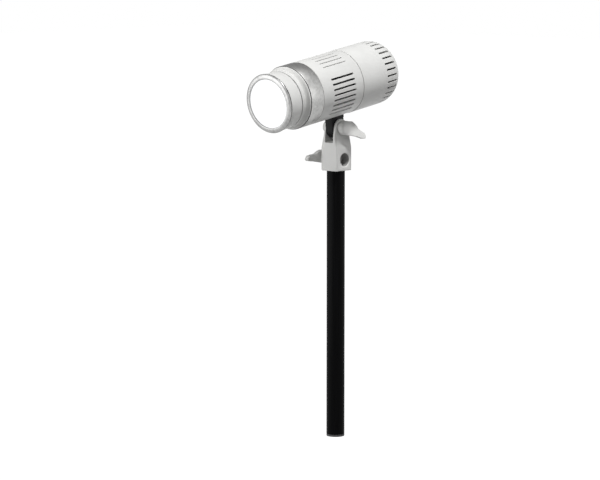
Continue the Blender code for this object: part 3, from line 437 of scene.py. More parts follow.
def enamel(name, colour, on_head):
    """Pale stoved enamel: fine orange peel, faint clouding, small dull rubs."""
    coat = Coat(name, colour, 0.36, on_head=on_head)
    cloud = coat.noise(22, 3, 0.55)
    speck = coat.ranged(coat.cells(420), 0.03, 0.1, 1.0, 0.0)
    base = coat.tint(coat.spread(cloud), coat.shade(0.975), coat.shade(1.02))
    worn = coat.maths("MULTIPLY", speck, coat.ranged(coat.noise(31, 2), 0.56, 0.66, 0.0, 0.35))
    coat.paint(coat.tint(worn, base, coat.shade(0.8)))
    coat.gloss(coat.noise(95, 4, 0.6), 0.31, 0.44)
    grain = coat.bump(coat.noise(2600, 1.5), 0.00002, 0.4)
    coat.bump(coat.noise(620, 1.0), 0.00006, 0.35, grain)
    return coat.material


def lever_plastic():
    """Moulded nylon with a fine etched grain."""
    coat = Coat("moulded_pale_plastic", (0.7, 0.7, 0.685), 0.42)
    coat.vary(coat.spread(coat.noise(60, 3)), 0.96, 1.03)
    coat.gloss(coat.noise(240, 3), 0.36, 0.5)
    coat.bump(coat.noise(1900, 2.5, 0.6), 0.00005, 0.4)
    return coat.material


def inner_black_and_painted_shade():
    """Matt black of the housing's inside, also laid as painted shade in the barrel's groove and end
    gaps.
    """
    coat = Coat("matt_black_inside_and_painted_shade", (0.012, 0.012, 0.013), 0.75, on_head=True)
    coat.vary(coat.noise(90, 3), 0.6, 1.5)
    coat.bump(coat.noise(1500, 2), 0.00006, 0.5)
    return coat.material


def socket_casting_and_painted_shade():
    """Bare metal down in the side socket, with rings left by the drill, its tone kept dark as painted
    shade in the recess.
    """
    coat = Coat("socket_casting_and_painted_shade", (0.3, 0.3, 0.294), 0.6, 0.2)
    rings = coat.noise(1.0, 3, 0.6, coat.stretched(2600, 120, 120))
    coat.vary(coat.noise(140, 4), 0.75, 1.25)
    coat.gloss(rings, 0.5, 0.7)
    coat.bump(rings, 0.00005, 0.5)
    return coat.material


def satin_aluminium(name, tone, fine, roughness, on_head=True):
    """Satin metal with fine marks that run round the axis, clouded by handling."""
    coat = Coat(name, tone, roughness, 1.0, on_head)
    marks = coat.noise(1.0, 4, 0.65, coat.around_axis(fine, 70))
    short = coat.noise(1.0, 3, 0.6, coat.around_axis(fine * 0.45, 420))
    cloud = coat.noise(70, 4, 0.6)
    mottle = coat.noise(310, 3, 0.6)
    both = coat.maths("ADD", coat.maths("MULTIPLY", marks, 0.6), coat.maths("MULTIPLY", short, 0.4))
    base = coat.tint(coat.spread(both), coat.shade(0.88), coat.shade(1.08))
    mean = coat.maths("MULTIPLY", coat.maths("ADD", cloud, mottle), 0.5)
    handled = coat.ranged(mean, 0.42, 0.62, 0.0, 1.0)
    coat.paint(coat.tint(handled, coat.tint(handled, coat.shade(0.76), base), base))
    coat.gloss(both, roughness - 0.05, roughness + 0.09)
    under = coat.bump(both, 0.00003, 0.5)
    coat.bump(mottle, 0.00004, 0.3, under)
    return coat.material


def tube_paint():
    """Satin black powder coat, with long faint streaks from the stand's clamp."""
    coat = Coat("satin_black_tube", (0.002, 0.002, 0.0022), 0.34).set(Specular_IOR_Level=0.03)
    streaks = coat.noise(1.0, 3, 0.6, coat.stretched(420, 420, 14))
    coat.vary(coat.spread(streaks), 0.7, 1.5)
    coat.gloss(streaks, 0.3, 0.42)
    coat.bump(coat.noise(1700, 2), 0.00004, 0.35)
    return coat.material


def black_enamel():
    """Black paint of the tongue, rubbed dull where it turns."""
    coat = Coat("black_tongue_paint", (0.005, 0.005, 0.0054), 0.42).set(Specular_IOR_Level=0.12)
    coat.vary(coat.noise(160, 4), 0.6, 1.6)
    coat.gloss(coat.noise(90, 3), 0.36, 0.55)
    coat.bump(coat.noise(1300, 2), 0.00005, 0.4)
    return coat.material


def black_plastic(name, on_head):
    """Etched black nylon."""
    coat = Coat(name, (0.018, 0.018, 0.02), 0.5, on_head=on_head)
    coat.vary(coat.noise(120, 3), 0.75, 1.35)
    coat.gloss(coat.noise(300, 3), 0.42, 0.6)
    coat.bump(coat.noise(2200, 2), 0.00004, 0.45)
    return coat.material


def steel(name, on_head):
    """Zinc-plated steel with fine drawing lines."""
    coat = Coat(name, (0.55, 0.55, 0.56), 0.28, 1.0, on_head)
    lines = coat.noise(1.0, 3, 0.6, coat.stretched(300, 300, 2400))
    coat.vary(coat.spread(coat.noise(140, 4)), 0.85, 1.1)
    coat.gloss(lines, 0.2, 0.38)
    coat.bump(lines, 0.00002, 0.4)
    return coat.material


def brass(name, on_head):
    """Turned brass, slightly tarnished."""
    coat = Coat(name, (0.72, 0.52, 0.22), 0.3, 1.0, on_head)
    tarnish = coat.ranged(coat.noise(110, 4), 0.45, 0.7, 0.0, 1.0)
    coat.paint(coat.tint(tarnish, coat.shade(1.05), (0.5, 0.36, 0.18)))
    coat.gloss(coat.noise(260, 3), 0.24, 0.42)
    coat.bump(coat.noise(1.0, 3, 0.6, coat.stretched(2200, 300, 300)), 0.00002, 0.4)
    return coat.material


def anodised():
    """Black anodised aluminium with turning marks under it, also laid on the focus ring's front face
    as painted shade.
    """
    coat = Coat("anodised_metal_and_ring_face_shade", (0.02, 0.02, 0.021), 0.48, 0.6, True)
    marks = coat.noise(1.0, 3, 0.6, coat.around_axis(2400, 60))
    coat.vary(coat.noise(80, 3), 0.75, 1.4)
    coat.gloss(marks, 0.4, 0.56)
    coat.bump(marks, 0.00003, 0.4)
    return coat.material


def lit_lens():
    """Frosted disc, lit from behind, a little weaker towards its edge."""
    coat = Coat("lit_frosted_glass", (0.2, 0.2, 0.205), 0.45, on_head=True)
    *_, reach = coat.from_axis()
    outwards = coat.ranged(reach, 0.012, 0.03, 0.0, 1.0)
    glow = coat.tint(outwards, (1.0, 1.0, 1.0), (0.93, 0.935, 0.95))
    coat.link(glow, coat.shader.inputs["Emission Color"])
    coat.set(Emission_Strength=0.95)
    coat.vary(coat.noise(240, 3), 0.94, 1.04)
    coat.gloss(coat.noise(900, 3), 0.4, 0.52)
    coat.bump(coat.noise(1600, 3), 0.00005, 0.4)
    return coat.material


def mirror():
    """Polished bowl of the reflector, with faint spinning lines."""
    coat = Coat("polished_bowl", (0.9, 0.9, 0.9), 0.09, 1.0, True)
    lines = coat.noise(1.0, 3, 0.6, coat.around_axis(1800, 40))
    coat.vary(lines, 0.95, 1.03)
    coat.gloss(lines, 0.06, 0.13)
    coat.bump(lines, 0.00001, 0.4)
    return coat.material


def phosphor():
    """Yellow phosphor gel, finely granular."""
    coat = Coat("phosphor_gel", (0.95, 0.8, 0.15), 0.55, on_head=True)
    coat.paint(coat.tint(coat.noise(900, 3), (0.85, 0.66, 0.1), (1.0, 0.86, 0.2)))
    coat.bump(coat.noise(2400, 2), 0.00004, 0.5)
    coat.set(Emission_Color=(1.0, 0.9, 0.6, 1.0), Emission_Strength=0.6)
    return coat.material


def board():
    """Green solder mask with copper runs under it."""
    coat = Coat("green_board", (0.03, 0.22, 0.09), 0.38, on_head=True)
    runs = coat.add("ShaderNodeTexBrick", offset=0.5)
    runs.inputs["Scale"].default_value = 240
    runs.inputs["Mortar Size"].default_value = 0.02
    turned_flat = coat.add("ShaderNodeMapping")
    turned_flat.inputs["Rotation"].default_value = (pi / 2, 0, 0)
    coat.link(coat.spot, turned_flat.inputs["Vector"])
    coat.link(turned_flat.outputs[0], runs.inputs["Vector"])
    edge = runs.outputs["Fac"]
    mask = coat.tint(coat.noise(60, 3), coat.shade(0.8), coat.shade(1.15))
    coat.paint(coat.tint(edge, mask, (0.07, 0.33, 0.13)))
    coat.gloss(coat.noise(200, 3), 0.3, 0.48)
    coat.bump(edge, 0.00004, 0.5)
    return coat.material


def fibre():
    """Pressed fibre of the friction washers."""
    coat = Coat("pressed_fibre", (0.05, 0.047, 0.044), 0.85)
    coat.vary(coat.noise(900, 5, 0.7), 0.5, 1.7)
    coat.bump(coat.noise(1600, 4, 0.7), 0.0001, 0.6)
    return coat.material


def copper():
    """Enamelled winding wire, laid side by side."""
    coat = Coat("copper_winding", (0.7, 0.33, 0.16), 0.3, 1.0, True)
    wire = coat.noise(1.0, 1, 0.4, coat.stretched(1500, 120, 1500))
    coat.vary(wire, 0.6, 1.2)
    coat.gloss(wire, 0.22, 0.4)
    coat.bump(wire, 0.0001, 0.6)
    return coat.material


head_enamel = enamel("pale_enamel_head", (0.705, 0.705, 0.691), True)
clamp_enamel = enamel("pale_enamel_clamp", (0.705, 0.705, 0.69), False)
pale_moulding = lever_plastic()
inside = inner_black_and_painted_shade()
socket_metal_and_shade = socket_casting_and_painted_shade()
ring_metal = satin_aluminium("satin_ring_metal", (0.46, 0.46, 0.452), 2600, 0.4)
rim_metal = satin_aluminium("machined_rim_metal", (0.37, 0.37, 0.367), 3200, 0.3)
tube_black = tube_paint()
tongue_black = black_enamel()
head_plastic = black_plastic("black_plastic_head", True)
stand_plastic = black_plastic("black_plastic_stand", False)
head_steel = steel("plated_steel_head", True)
stand_steel = steel("plated_steel_stand", False)
head_brass = brass("turned_brass_head", True)
stand_brass = brass("turned_brass_stand", False)
anodised_and_ring_face_shade = anodised()
lens_glow = lit_lens()
bowl_mirror = mirror()
phosphor_gel = phosphor()
green_board = board()
washer_fibre = fibre()
winding_copper = copper()


# Stand tube and stud


def make_tube():
    """Plain round tube with eased ends."""
    inner = TUBE_RADIUS - TUBE_WALL
    profile = [(TUBE_FOOT, inner), (TUBE_FOOT, TUBE_RADIUS), (TUBE_TOP, TUBE_RADIUS),
               (TUBE_TOP, inner)]
    finished("painted_tube", turned(profile, "Z", 96, 0.3, 3), ON_STAND, "stand_tube",
             [tube_black])


def make_plug():
    """Flanged plug, ribbed where it grips the tube."""
    flange, end, floor = 2.5, 22.0, 4.0
    rib = 9.2
    shank = rib - 0.8
    hollow = rib - 2.8
    profile = [(0, 0), (0, TUBE_RADIUS), (flange, TUBE_RADIUS), (flange, shank)]
    for crest in (6.5, 13.5):
        profile += [(crest - 2.0, shank), (crest, rib), (crest + 2.0, shank)]
    profile += [(end, rib - 1.2), (end, hollow), (floor, hollow), (floor, 0)]
    finished("flanged_plug", turned(profile, "Z", 72, 0.4, 3, 60), ON_STAND, "tube_end_plug",
             [stand_plastic])


def make_stud():
    """Stud with the waist that the lock pad seats in."""
    plug = 9.2
    shoulder = TUBE_TOP - 0.2
    waist, flare = 5.0, 6.6
    profile = [(STUD_FOOT, 0), (STUD_FOOT, plug), (shoulder, plug), (shoulder, STUD_RADIUS),
               (LOCK_HEIGHT - flare, STUD_RADIUS), (LOCK_HEIGHT - waist, STUD_WAIST),
               (LOCK_HEIGHT + waist, STUD_WAIST), (LOCK_HEIGHT + flare, STUD_RADIUS),
               (STUD_TOP, STUD_RADIUS), (STUD_TOP, 0)]
    finished("waisted_stud", turned(profile, "Z", 72, 0.5, 3), ON_STAND, "spigot_stud",
             [stand_steel])


# Clamp


def side_of(value):
    """One on the positive side, minus one on the other."""
    return 1 if value > 0 else -1


def level_edges(bm, height):
    """Edges that lie at one height."""
    return [edge for edge in bm.edges if all(abs(vert.co.z - height) < NEAR for vert in edge.verts)]


def touch_angle(root):
    """Angle at which the ear's edge, straight up from its root, meets the round crown."""
    drop = PIVOT_HEIGHT - EAR_ROOT
    return acos(EAR_RADIUS / hypot(root, drop)) - atan2(drop, abs(root))


def clamp_blank():
    """Block that tapers into the ears, its crown turned about the pivot."""
    corner = 1.8
    bm = bmesh.new()
    bmesh.ops.create_circle(bm, cap_ends=True, segments=32, radius=corner,
                            matrix=Matrix.Rotation(pi / 32, 4, "Z"))
    for vert in bm.verts:
        end = CLAMP_REAR - corner if vert.co.y > 0 else CLAMP_FRONT + corner
        vert.co += Vector((side_of(vert.co.x) * (CLAMP_HALF_WIDTH - corner), end, CLAMP_BASE))
    top = bm.faces[:][0]
    taper = (EAR_OUTER - CLAMP_HALF_WIDTH, EAR_ROOT_FRONT - CLAMP_FRONT, EAR_ROOT_REAR - CLAMP_REAR)
    for height, (narrower, front, rear) in ((CLAMP_SHOULDER, (0, 0, 0)), (EAR_ROOT, taper)):
        top = raised(bm, top, height == CLAMP_SHOULDER)
        for vert in top.verts:
            vert.co.x += side_of(vert.co.x) * narrower
            vert.co.y += rear if vert.co.y > 0 else front
            vert.co.z = height
    bmesh.ops.delete(bm, geom=[top], context="FACES_ONLY")
    sides = [edge for edge in level_edges(bm, EAR_ROOT)
             if abs(edge.verts[0].co.y - edge.verts[1].co.y) > corner]
    bmesh.ops.subdivide_edges(bm, edges=sides, cuts=1)
    grown = bmesh.ops.extrude_edge_only(bm, edges=level_edges(bm, EAR_ROOT))["geom"]
    moved = of_kind(grown, bmesh.types.BMVert)
    front_turn = pi - touch_angle(EAR_ROOT_FRONT)
    rear_turn = touch_angle(EAR_ROOT_REAR)
    chain = []
    for vert in moved:
        if vert.co.y > EAR_ROOT_REAR - corner - NEAR:
            angle, reach = rear_turn, EAR_RADIUS - (EAR_ROOT_REAR - vert.co.y)
        elif vert.co.y < EAR_ROOT_FRONT + corner + NEAR:
            angle, reach = front_turn, EAR_RADIUS - (vert.co.y - EAR_ROOT_FRONT)
            chain.append(vert)
        else:
            angle, reach = 0.0, 0.0
            chain.append(vert)
        vert.co.y = reach * cos(angle)
        vert.co.z = PIVOT_HEIGHT + reach * sin(angle)
    front = [edge for edge in of_kind(grown, bmesh.types.BMEdge)
             if all(vert in chain for vert in edge.verts)]
    bmesh.ops.spin(bm, geom=chain + front, cent=(0, 0, PIVOT_HEIGHT), axis=(1, 0, 0),
                   angle=rear_turn - front_turn, steps=28)
    clean(bm)
    bends = ((CLAMP_BASE, 0.8, 3), (CLAMP_SHOULDER, 2.0, 4), (EAR_ROOT, 2.4, 4))
    for height, offset, segments in bends:
        ease(bm, level_edges(bm, height), offset, segments)
    return clean(bm)


def gap_tool():
    """Slot between the ears, over a floor that is humped from front to rear."""
    crest, radius, half_gap, above = 361.2, 35.4, 6.5, 440
    floor = arc((0.9, crest - radius), radius, 114, 66, 32)
    tool = plate(floor + [(floor[-1][0], above), (floor[0][0], above)], -half_gap, half_gap, "X")
    low = [edge for edge in tool.edges if all(vert.co.z < crest + 0.1 for vert in edge.verts)
           and abs(edge.verts[0].co.x - edge.verts[1].co.x) < NEAR]
    ease(tool, low, 0.9, 4)
    return tool


def make_clamp():
    """Casting with its fork, side socket and bores."""
    face = CLAMP_HALF_WIDTH
    socket_floor = 1.0
    flare = 4.0
    mouth = [(socket_floor, 0), (socket_floor, SOCKET_RADIUS), (face - 0.9, SOCKET_RADIUS),
             (face - 0.45, SOCKET_RADIUS + 0.12), (face - 0.13, SOCKET_RADIUS + 0.45),
             (face, SOCKET_RADIUS + 0.9), (face + flare, SOCKET_RADIUS + 0.9 + flare),
             (face + flare, 0)]
    socket = shift(turned(mouth, "X", 72), y=SOCKET_OFFSET, z=SOCKET_HEIGHT)
    seat = STUD_RADIUS + 0.4
    lead_in = 5.0
    stud_bore = turned([(CLAMP_BASE - lead_in, 0), (CLAMP_BASE - lead_in, seat + 0.3 + lead_in),
                        (CLAMP_BASE + 0.3, seat), (STUD_TOP + 0.6, seat), (STUD_TOP + 0.6, 0)],
                       "Z", 72)
    lock_bore = shift(bar(-20, -1, BORE, "X", 40), z=LOCK_HEIGHT)
    pivot_bore = shift(bar(-30, 30, BORE, "X", 40), z=PIVOT_HEIGHT)
    body = worked(clamp_blank(), [gap_tool(), socket, stud_bore, lock_bore, pivot_bore])

    def coat_of(spot):
        """Bare metal, dark as painted shade, in the side socket past its mouth."""
        reach = hypot(spot.y - SOCKET_OFFSET, spot.z - SOCKET_HEIGHT)
        # Painted shade: the socket's walls take a dark grey coat that stands in for the shadow down
        # in the hole
        return 1 if socket_floor < spot.x < face - 1.0 and reach < SOCKET_RADIUS + 0.05 else 0

    finished("cast_clamp", body, ON_STAND, "clamp_fork", [clamp_enamel, socket_metal_and_shade],
             40, coat_of)


def make_bolt_cap():
    """Round cap over the bolt's end, outside the left ear."""
    outer, radius, inner, floor = -16.3, 7.0, -10.1, -14.0
    profile = [(outer, 0), (outer, radius - 1.8), (outer + 0.4, radius - 0.7),
               (outer + 1.4, radius), (inner, radius), (inner, BORE), (floor, BORE), (floor, 0)]
    finished("domed_bolt_cap", turned(profile, "X", 72, EDGE, 3, 15), ON_PIVOT, "bolt_cap",
             [pale_moulding], 40)


# Wing levers


def lever_outline(scale):
    """The wing seen along the bolt: full upper side, round tip, straight lower side."""
    outline = [(0.0, -8.2), (18.0, -5.3)]
    outline += arc((23.8, -0.6), 4.6, -80, 55, 14)
    outline += arc((8.4, 0.4), 10.4, 28, 105, 14)
    outline += [(0.0, 8.1)]
    return [(scale * along, scale * across) for along, across in outline]


def lever(base, scale, pocket):
    """Hub with a wing that rises and leans as it leaves it, a bore and the insert's pocket."""
    end = base + 8.8
    radius = 8.6 * scale
    hub = turned([(base, 0), (base, radius - 0.3), (base + 0.3, radius), (end - 2.0, radius),
                  (end - 0.9, radius - 0.5), (end - 0.25, radius - 1.5), (end, radius - 3.0),
                  (end, 0)], "X", 72)
    thickness, inset, rise, lean = 6.0, 1.9, 0.26, 0.42
    wing = plate(lever_outline(scale), 0.0, thickness, "X")
    for station in (1, 3, 5, 7, 9, 11):
        bmesh.ops.bisect_plane(wing, geom=wing.verts[:] + wing.edges[:] + wing.faces[:],
                               plane_co=(0, station, 0), plane_no=(0, 1, 0))
    for vert in wing.verts:
        share = min(1.0, max(0.0, (vert.co.y - 3.0) / 8.0))
        vert.co.x += base + inset + rise * max(vert.co.y - 1.0, 0.0) - lean * share * vert.co.z
    ease(wing, sharp_edges(wing, 60, lambda spot: spot.y > 4.0), 0.5, 3)
    tools = [bar(base - 2, base + 6.6, BORE, "X", 40)]
    if pocket:
        tools.append(bar(base - 2, base + 5.4, pocket, "X", 6))
    return worked(worked(hub, [clean(wing)], "UNION"), tools)


def make_levers():
    """The larger lever over the bolt's hexagonal insert, the smaller one on the lock screw."""
    tilt_place = ON_PIVOT @ Matrix.Rotation(radians(-22), 4, "X")
    finished("tilt_wing", lever(10.2, 1.0, 6.96), tilt_place, "tilt_lever",
             [pale_moulding], 50)
    lock_place = ON_LOCK @ Matrix.Rotation(pi, 4, "Z") @ Matrix.Rotation(radians(2), 4, "X")
    finished("lock_wing", lever(13.2, 0.88, 0), lock_place, "lock_lever",
             [pale_moulding], 50)


# Tongue under the head


def make_tongue():
    """Round-ended tongue with a wider foot that hugs the housing."""
    top = HEAD_RISE - BODY_RADIUS + 8.0
    front, rear, radius, half = -12.2, 9.4, 10.8, 5.6
    outline = [(rear, top), (front, top)] + arc((front + radius, -1.5), radius, 180, 360, 28)
    tongue = plate(outline, -half, half, "X")
    below = [edge for edge in sharp_edges(tongue, 60)
             if min(vert.co.z for vert in edge.verts) < top - 1]
    ease(tongue, below, 0.5, 3)
    foot = block((-half - 0.7, front + 0.05, 10.8), (half + 0.7, rear - 0.05, top - 1), 0.4, 3)
    whole = worked(tongue, [foot], "UNION")
    seat = shift(bar(-30, 30, BODY_RADIUS + 0.3, "Y", 160), z=HEAD_RISE)
    bore = bar(-12, 12, BORE, "X", 40)
    threads = [shift(bar(6.4, 30, SCREW_BORE, "Z", 24), y=station) for station in BRACKET_SCREWS]
    finished("black_tongue", worked(whole, [seat, bore, *threads]), ON_TONGUE, "tilt_bracket",
             [tongue_black], 40)


# Vent slots


def slot_tool(width, front, rear, low, surface, lip=0.22, cuts=0):
    """Cutter for one round-ended slot on top, whose lip opens out where it meets the surface."""
    above = 1.2
    half = width / 2
    reach = (rear - front) / 2 - half
    middle = (front + rear) / 2
    bm = bmesh.new()
    bmesh.ops.create_circle(bm, segments=16, radius=half, matrix=Matrix.Rotation(pi / 16, 4, "Z"))
    for vert in bm.verts:
        vert.co.y += side_of(vert.co.y) * reach
    if cuts:
        runs = [edge for edge in bm.edges if edge.calc_length() > width]
        bmesh.ops.subdivide_edges(bm, edges=runs, cuts=cuts)
    top = bmesh.ops.contextual_create(bm, geom=bm.edges[:])["faces"][0]
    for rise, spread in ((-lip, 0.0), (above, lip + above)):
        top = raised(bm, top, rise < 0)
        for vert in top.verts:
            centre = Vector((0, max(-reach, min(reach, vert.co.y)), 0))
            away = Vector((vert.co.x, vert.co.y, 0)) - centre
            vert.co.z = surface(vert.co.y + middle) + rise
            vert.co += away.normalized() * spread
    for vert in bm.verts:
        if vert.co.z == 0:
            vert.co.z = low
        vert.co.y += middle
    return clean(bm)


def ring_of_slots(angles, shape):
    """The same slot at each angle from the top, towards +X."""
    slots = [turn(shape.copy(), angle, "Y") for angle in angles]
    shape.free()
    return gathered(slots)


# Housing


def make_body():
    """Vented tube, enamelled outside and black inside."""
    front, rear = -55.8, 15.5
    inner = BODY_RADIUS - BODY_WALL
    shell = turned([(front, inner), (front, BODY_RADIUS), (rear, BODY_RADIUS), (rear, inner)],
                   "Y", 240, EDGE, 3)
    fine = [(index - 4) * 10.1 for index in range(9)]
    wide = [101.4 + (index - 3.5) * 9.76 for index in range(8)]
    wide += [-angle for angle in wide]
    slot_front, slot_rear = -37.6, 2.0
    slots = []
    for angles, width in ((fine, 1.0), (wide, 2.3)):
        tool = slot_tool(width, slot_front, slot_rear, inner - 3, lambda station: BODY_RADIUS, 0.15)
        slots.append(ring_of_slots(angles, tool))
    screws = [shift(bar(-42, -30, SCREW_BORE, "Z", 24), y=station) for station in BRACKET_SCREWS]
    finished("vented_body", worked(shell, [*slots, *screws]), ON_HEAD, "body_shell",
             [head_enamel, inside], 28,
             lambda spot: 1 if hypot(spot.x, spot.z) < inner + 0.02 else 0)


def cap_radius(station):
    """Outer radius of the cap where its long bend runs."""
    run = max(0.0, station - CAP_BEND_START)
    return CAP_RADIUS - CAP_BEND_RADIUS + sqrt(max(CAP_BEND_RADIUS ** 2 - run ** 2, 0.0))


def cap_line():
    """Outer line of the cap: straight, a long bend, then a tight edge to the flat end."""
    bent_by = 48
    bend = radians(bent_by)
    edge = 4.0
    line = [(CAP_FRONT, CAP_RADIUS)]
    line += arc((CAP_BEND_START, CAP_RADIUS - CAP_BEND_RADIUS), CAP_BEND_RADIUS, 90, 90 - bent_by, 14)
    station, radius = line[-1]
    run = (CAP_END - station - edge * (1 - sin(bend))) / cos(bend)
    start = (station + run * cos(bend), radius - run * sin(bend))
    centre = (start[0] - edge * sin(bend), start[1] - edge * cos(bend))
    return line + arc(centre, edge, 90 - bent_by, 0, 6)


def make_cap():
    """Vented cap with a dished end that carries the controls."""
    floor = REAR_FACE
    wall = floor - CAP_WALL
    bore = CAP_RADIUS - CAP_WALL
    dish = 22.5
    inner_line = ((CAP_BEND_START, bore), (78.2, 35.2), (wall, 26.0))
    profile = cap_line() + [(CAP_END, dish + 1.1), (CAP_END - 0.2, dish + 0.7),
                            (floor + 0.3, dish + 0.4), (floor, dish), (floor, 0), (wall, 0),
                            *inner_line[::-1], (CAP_FRONT, bore)]
    shell = turned(profile[::-1], "Y", 240)
    ease(shell, sharp_edges(shell, 60, lambda spot: spot.y < CAP_FRONT + NEAR), EDGE, 3)
    count, width, slot_front, slot_rear, depth = 32, 2.1, 59.3, 77.6, 31.0
    slots = ring_of_slots([1.2 + index * 360 / count for index in range(count)],
                          slot_tool(width, slot_front, slot_rear, depth, cap_radius, cuts=10))
    front = wall - 5.0
    rear = CAP_END + 5.0
    half_window = (6.9, 4.6)
    window = block((-half_window[0], front, ROCKER_HEIGHT - half_window[1]),
                   (half_window[0], rear, ROCKER_HEIGHT + half_window[1]))
    bush = bar(front, rear, 3.9, "Y", 48)
    inlet = shift(bar(front, rear, 4.4, "Y", 48), z=INLET_HEIGHT)

    def coat_of(spot):
        """Black on the inner side only, so that the slots' own walls stay pale."""
        reach = hypot(spot.x, spot.z)
        if spot.y > wall - 0.02:
            return 1 if spot.y < wall + 0.02 and reach > 4.5 else 0
        if spot.y < CAP_BEND_START:
            return 1 if reach < bore + 0.02 else 0
        for (first, first_radius), (second, second_radius) in zip(inner_line, inner_line[1:]):
            if first <= spot.y <= second:
                share = (spot.y - first) / (second - first)
                wall_radius = first_radius + (second_radius - first_radius) * share
                return 1 if reach < wall_radius + 0.05 else 0
        return 0

    finished("vented_cap", worked(shell, [slots, bush, window, inlet]), ON_HEAD, "rear_cap",
             [head_enamel, inside], 28, coat_of)


# Focus ring, barrel, rim and lens


def make_ring():
    """Ring with a helical groove inside for each pin, its front face black as painted shade."""
    front, rear = -77.7, -56.15
    profile = [(front, RING_BORE), (front, RING_RADIUS), (rear, RING_RADIUS), (rear, RING_BORE)]
    ring = turned(profile, "Y", 240, EDGE, 3)
    half = PIN_RADIUS + 0.5
    inner, outer = RING_BORE - 1.5, RING_BORE + 1.3
    spare = 4.0
    turn_by = FOCUS_TURN + 2 * spare
    steps = 40
    step_out = -FOCUS_TRAVEL * turn_by / FOCUS_TURN / steps
    grooves = []
    for angle in PIN_ANGLES:
        begin = radians(angle + spare)
        station = PIN_STATION + FOCUS_TRAVEL * spare / FOCUS_TURN
        bm = bmesh.new()
        section = ((-half, inner), (half, inner), (half, outer), (-half, outer))
        corners = [bm.verts.new((reach * sin(begin), station + offset, reach * cos(begin)))
                   for offset, reach in section]
        bmesh.ops.spin(bm, geom=[bm.faces.new(corners)], cent=(0, 0, 0), axis=(0, 1, 0),
                       angle=-radians(turn_by), dvec=(0, step_out, 0), steps=steps)
        grooves.append(clean(bm))
    finished("turned_focus_ring", worked(ring, [gathered(grooves)]), ON_HEAD, "focus_ring",
             [ring_metal, anodised_and_ring_face_shade], 30,
             # Painted shade: the front face takes the black coat to stand in for the dark line of
             # shade at the ring's front edge
             lambda spot: 1 if spot.y < front + 0.05 else 0)


def make_barrel():
    """Gap behind the rim, two bands, a throat, a thin lip, and the sleeve inside the ring, with
    painted shade in the gap and the groove.
    """
    nose, seat, lip, end = -108.5, -103.9, -78.2, -57.8
    bore, counterbore, sleeve, band = 32.0, 32.9, 33.8, 34.8
    groove = -90.1
    groove_end = groove + 1.0
    throat, lip_radius = 33.1, 37.6
    profile = [(nose, counterbore), (nose, band - 0.5), (nose + 0.3, band), (groove, 34.0),
               (groove, counterbore), (groove_end, counterbore), (groove_end, 34.2),
               (groove + 5.6, 34.2), (groove + 6.4, throat), (groove + 7.7, throat),
               (groove + 9.3, band - 0.1), (groove + 10.3, lip_radius), (lip, lip_radius),
               (lip, sleeve), (end, sleeve), (end, bore), (seat, bore), (seat, counterbore)]
    barrel = turned(profile, "Y", 240, 0.12, 2, 20)
    holes = [turn(shift(bar(30, 36, 1.8, "Z", 32), y=PIN_STATION), angle, "Y")
             for angle in PIN_ANGLES]

    def coat_of(spot):
        """Black inside, and black as painted shade in the thin groove and at both ends, where the
        neighbours' gaps are.
        """
        reach = hypot(spot.x, spot.z)
        # Painted shade: the groove and both end faces are black to stand in for shadow gaps
        painted_groove_shade = groove < spot.y < groove_end and reach < 33.5
        return 1 if reach < 32.6 or painted_groove_shade or not nose + 0.25 < spot.y < lip + 0.3 else 0

    finished("stepped_barrel", worked(barrel, holes), ON_HEAD, "lens_barrel",
             [head_enamel, inside], 30, coat_of)


def make_rim():
    """Machined rim with a broad round shoulder, and the skirt that screws into the barrel."""
    front, rear, skirt_end, ledge = -112.62, -110.1, -104.3, 1.4
    opening, face, skirt, bore = 29.0, 30.6, 32.5, 31.0
    depth, height = 2.4, 4.7
    profile = [(front + 0.9, opening), (front, opening + 0.6), (front, face)]
    profile += [(front + depth - depth * cos(angle), face + 0.2 + height * sin(angle))
                for angle in (radians(step * 7.5) for step in range(1, 13))]
    profile += [(rear, face + 0.2 + height), (rear, skirt), (skirt_end, skirt), (skirt_end, bore),
                (front + ledge, bore), (front + ledge, opening)]
    finished("machined_rim", turned(profile, "Y", 240, 0.12, 2, 30), ON_HEAD, "front_bezel",
             [rim_metal], 30)


def make_lens():
    """Frosted disc, slightly domed behind."""
    front, edge, radius, dome = -111.0, 2.6, 30.6, 1.6
    profile = [(front, 0), (front, radius - 0.3), (front + 0.3, radius), (front + edge, radius)]
    profile += [(front + edge + dome * (1 - share ** 2), (radius - 1.6) * share)
                for share in (1 - index / 10 for index in range(11))]
    finished("lit_lens", turned(profile, "Y", 160), ON_HEAD, "front_lens",
             [lens_glow], 30)


# Controls on the rear face


def make_knob():
    """Fluted knob with a white pointer line let into its top."""
    start = REAR_FACE + 0.6
    end = start + 9.0
    radius, flutes, depth, points = 8.6, 14, 0.45, 168
    outline = []
    for index in range(points):
        angle = tau * index / points
        reach = radius - depth * (0.5 - 0.5 * cos(flutes * angle)) ** 2
        outline.append((reach * sin(angle), reach * cos(angle)))
    knob = plate(outline, start, end, "Y")
    ease(knob, sharp_edges(knob, 60, lambda spot: spot.y > end - NEAR), 0.7, 4)
    line_depth, line_half = 0.35, 0.5
    line_floor = end - line_depth
    shaft_end, shaft_bore = start + 6.8, 2.2
    bush_end, bush_bore = start + 1.3, 4.2
    tools = [bar(start - 2, shaft_end, shaft_bore, "Y", 32),
             bar(start - 2, bush_end, bush_bore, "Y", 40),
             block((-line_half, line_floor, 2.6), (line_half, end + 2, 12.0))]

    def coat_of(spot):
        """White on the floor of the pointer line."""
        return 1 if abs(spot.x) < line_half - NEAR and abs(spot.y - line_floor) < 0.05 else 0

    finished("fluted_knob", worked(knob, tools), ON_HEAD, "dimmer_knob",
             [head_plastic, head_enamel], 40, coat_of)


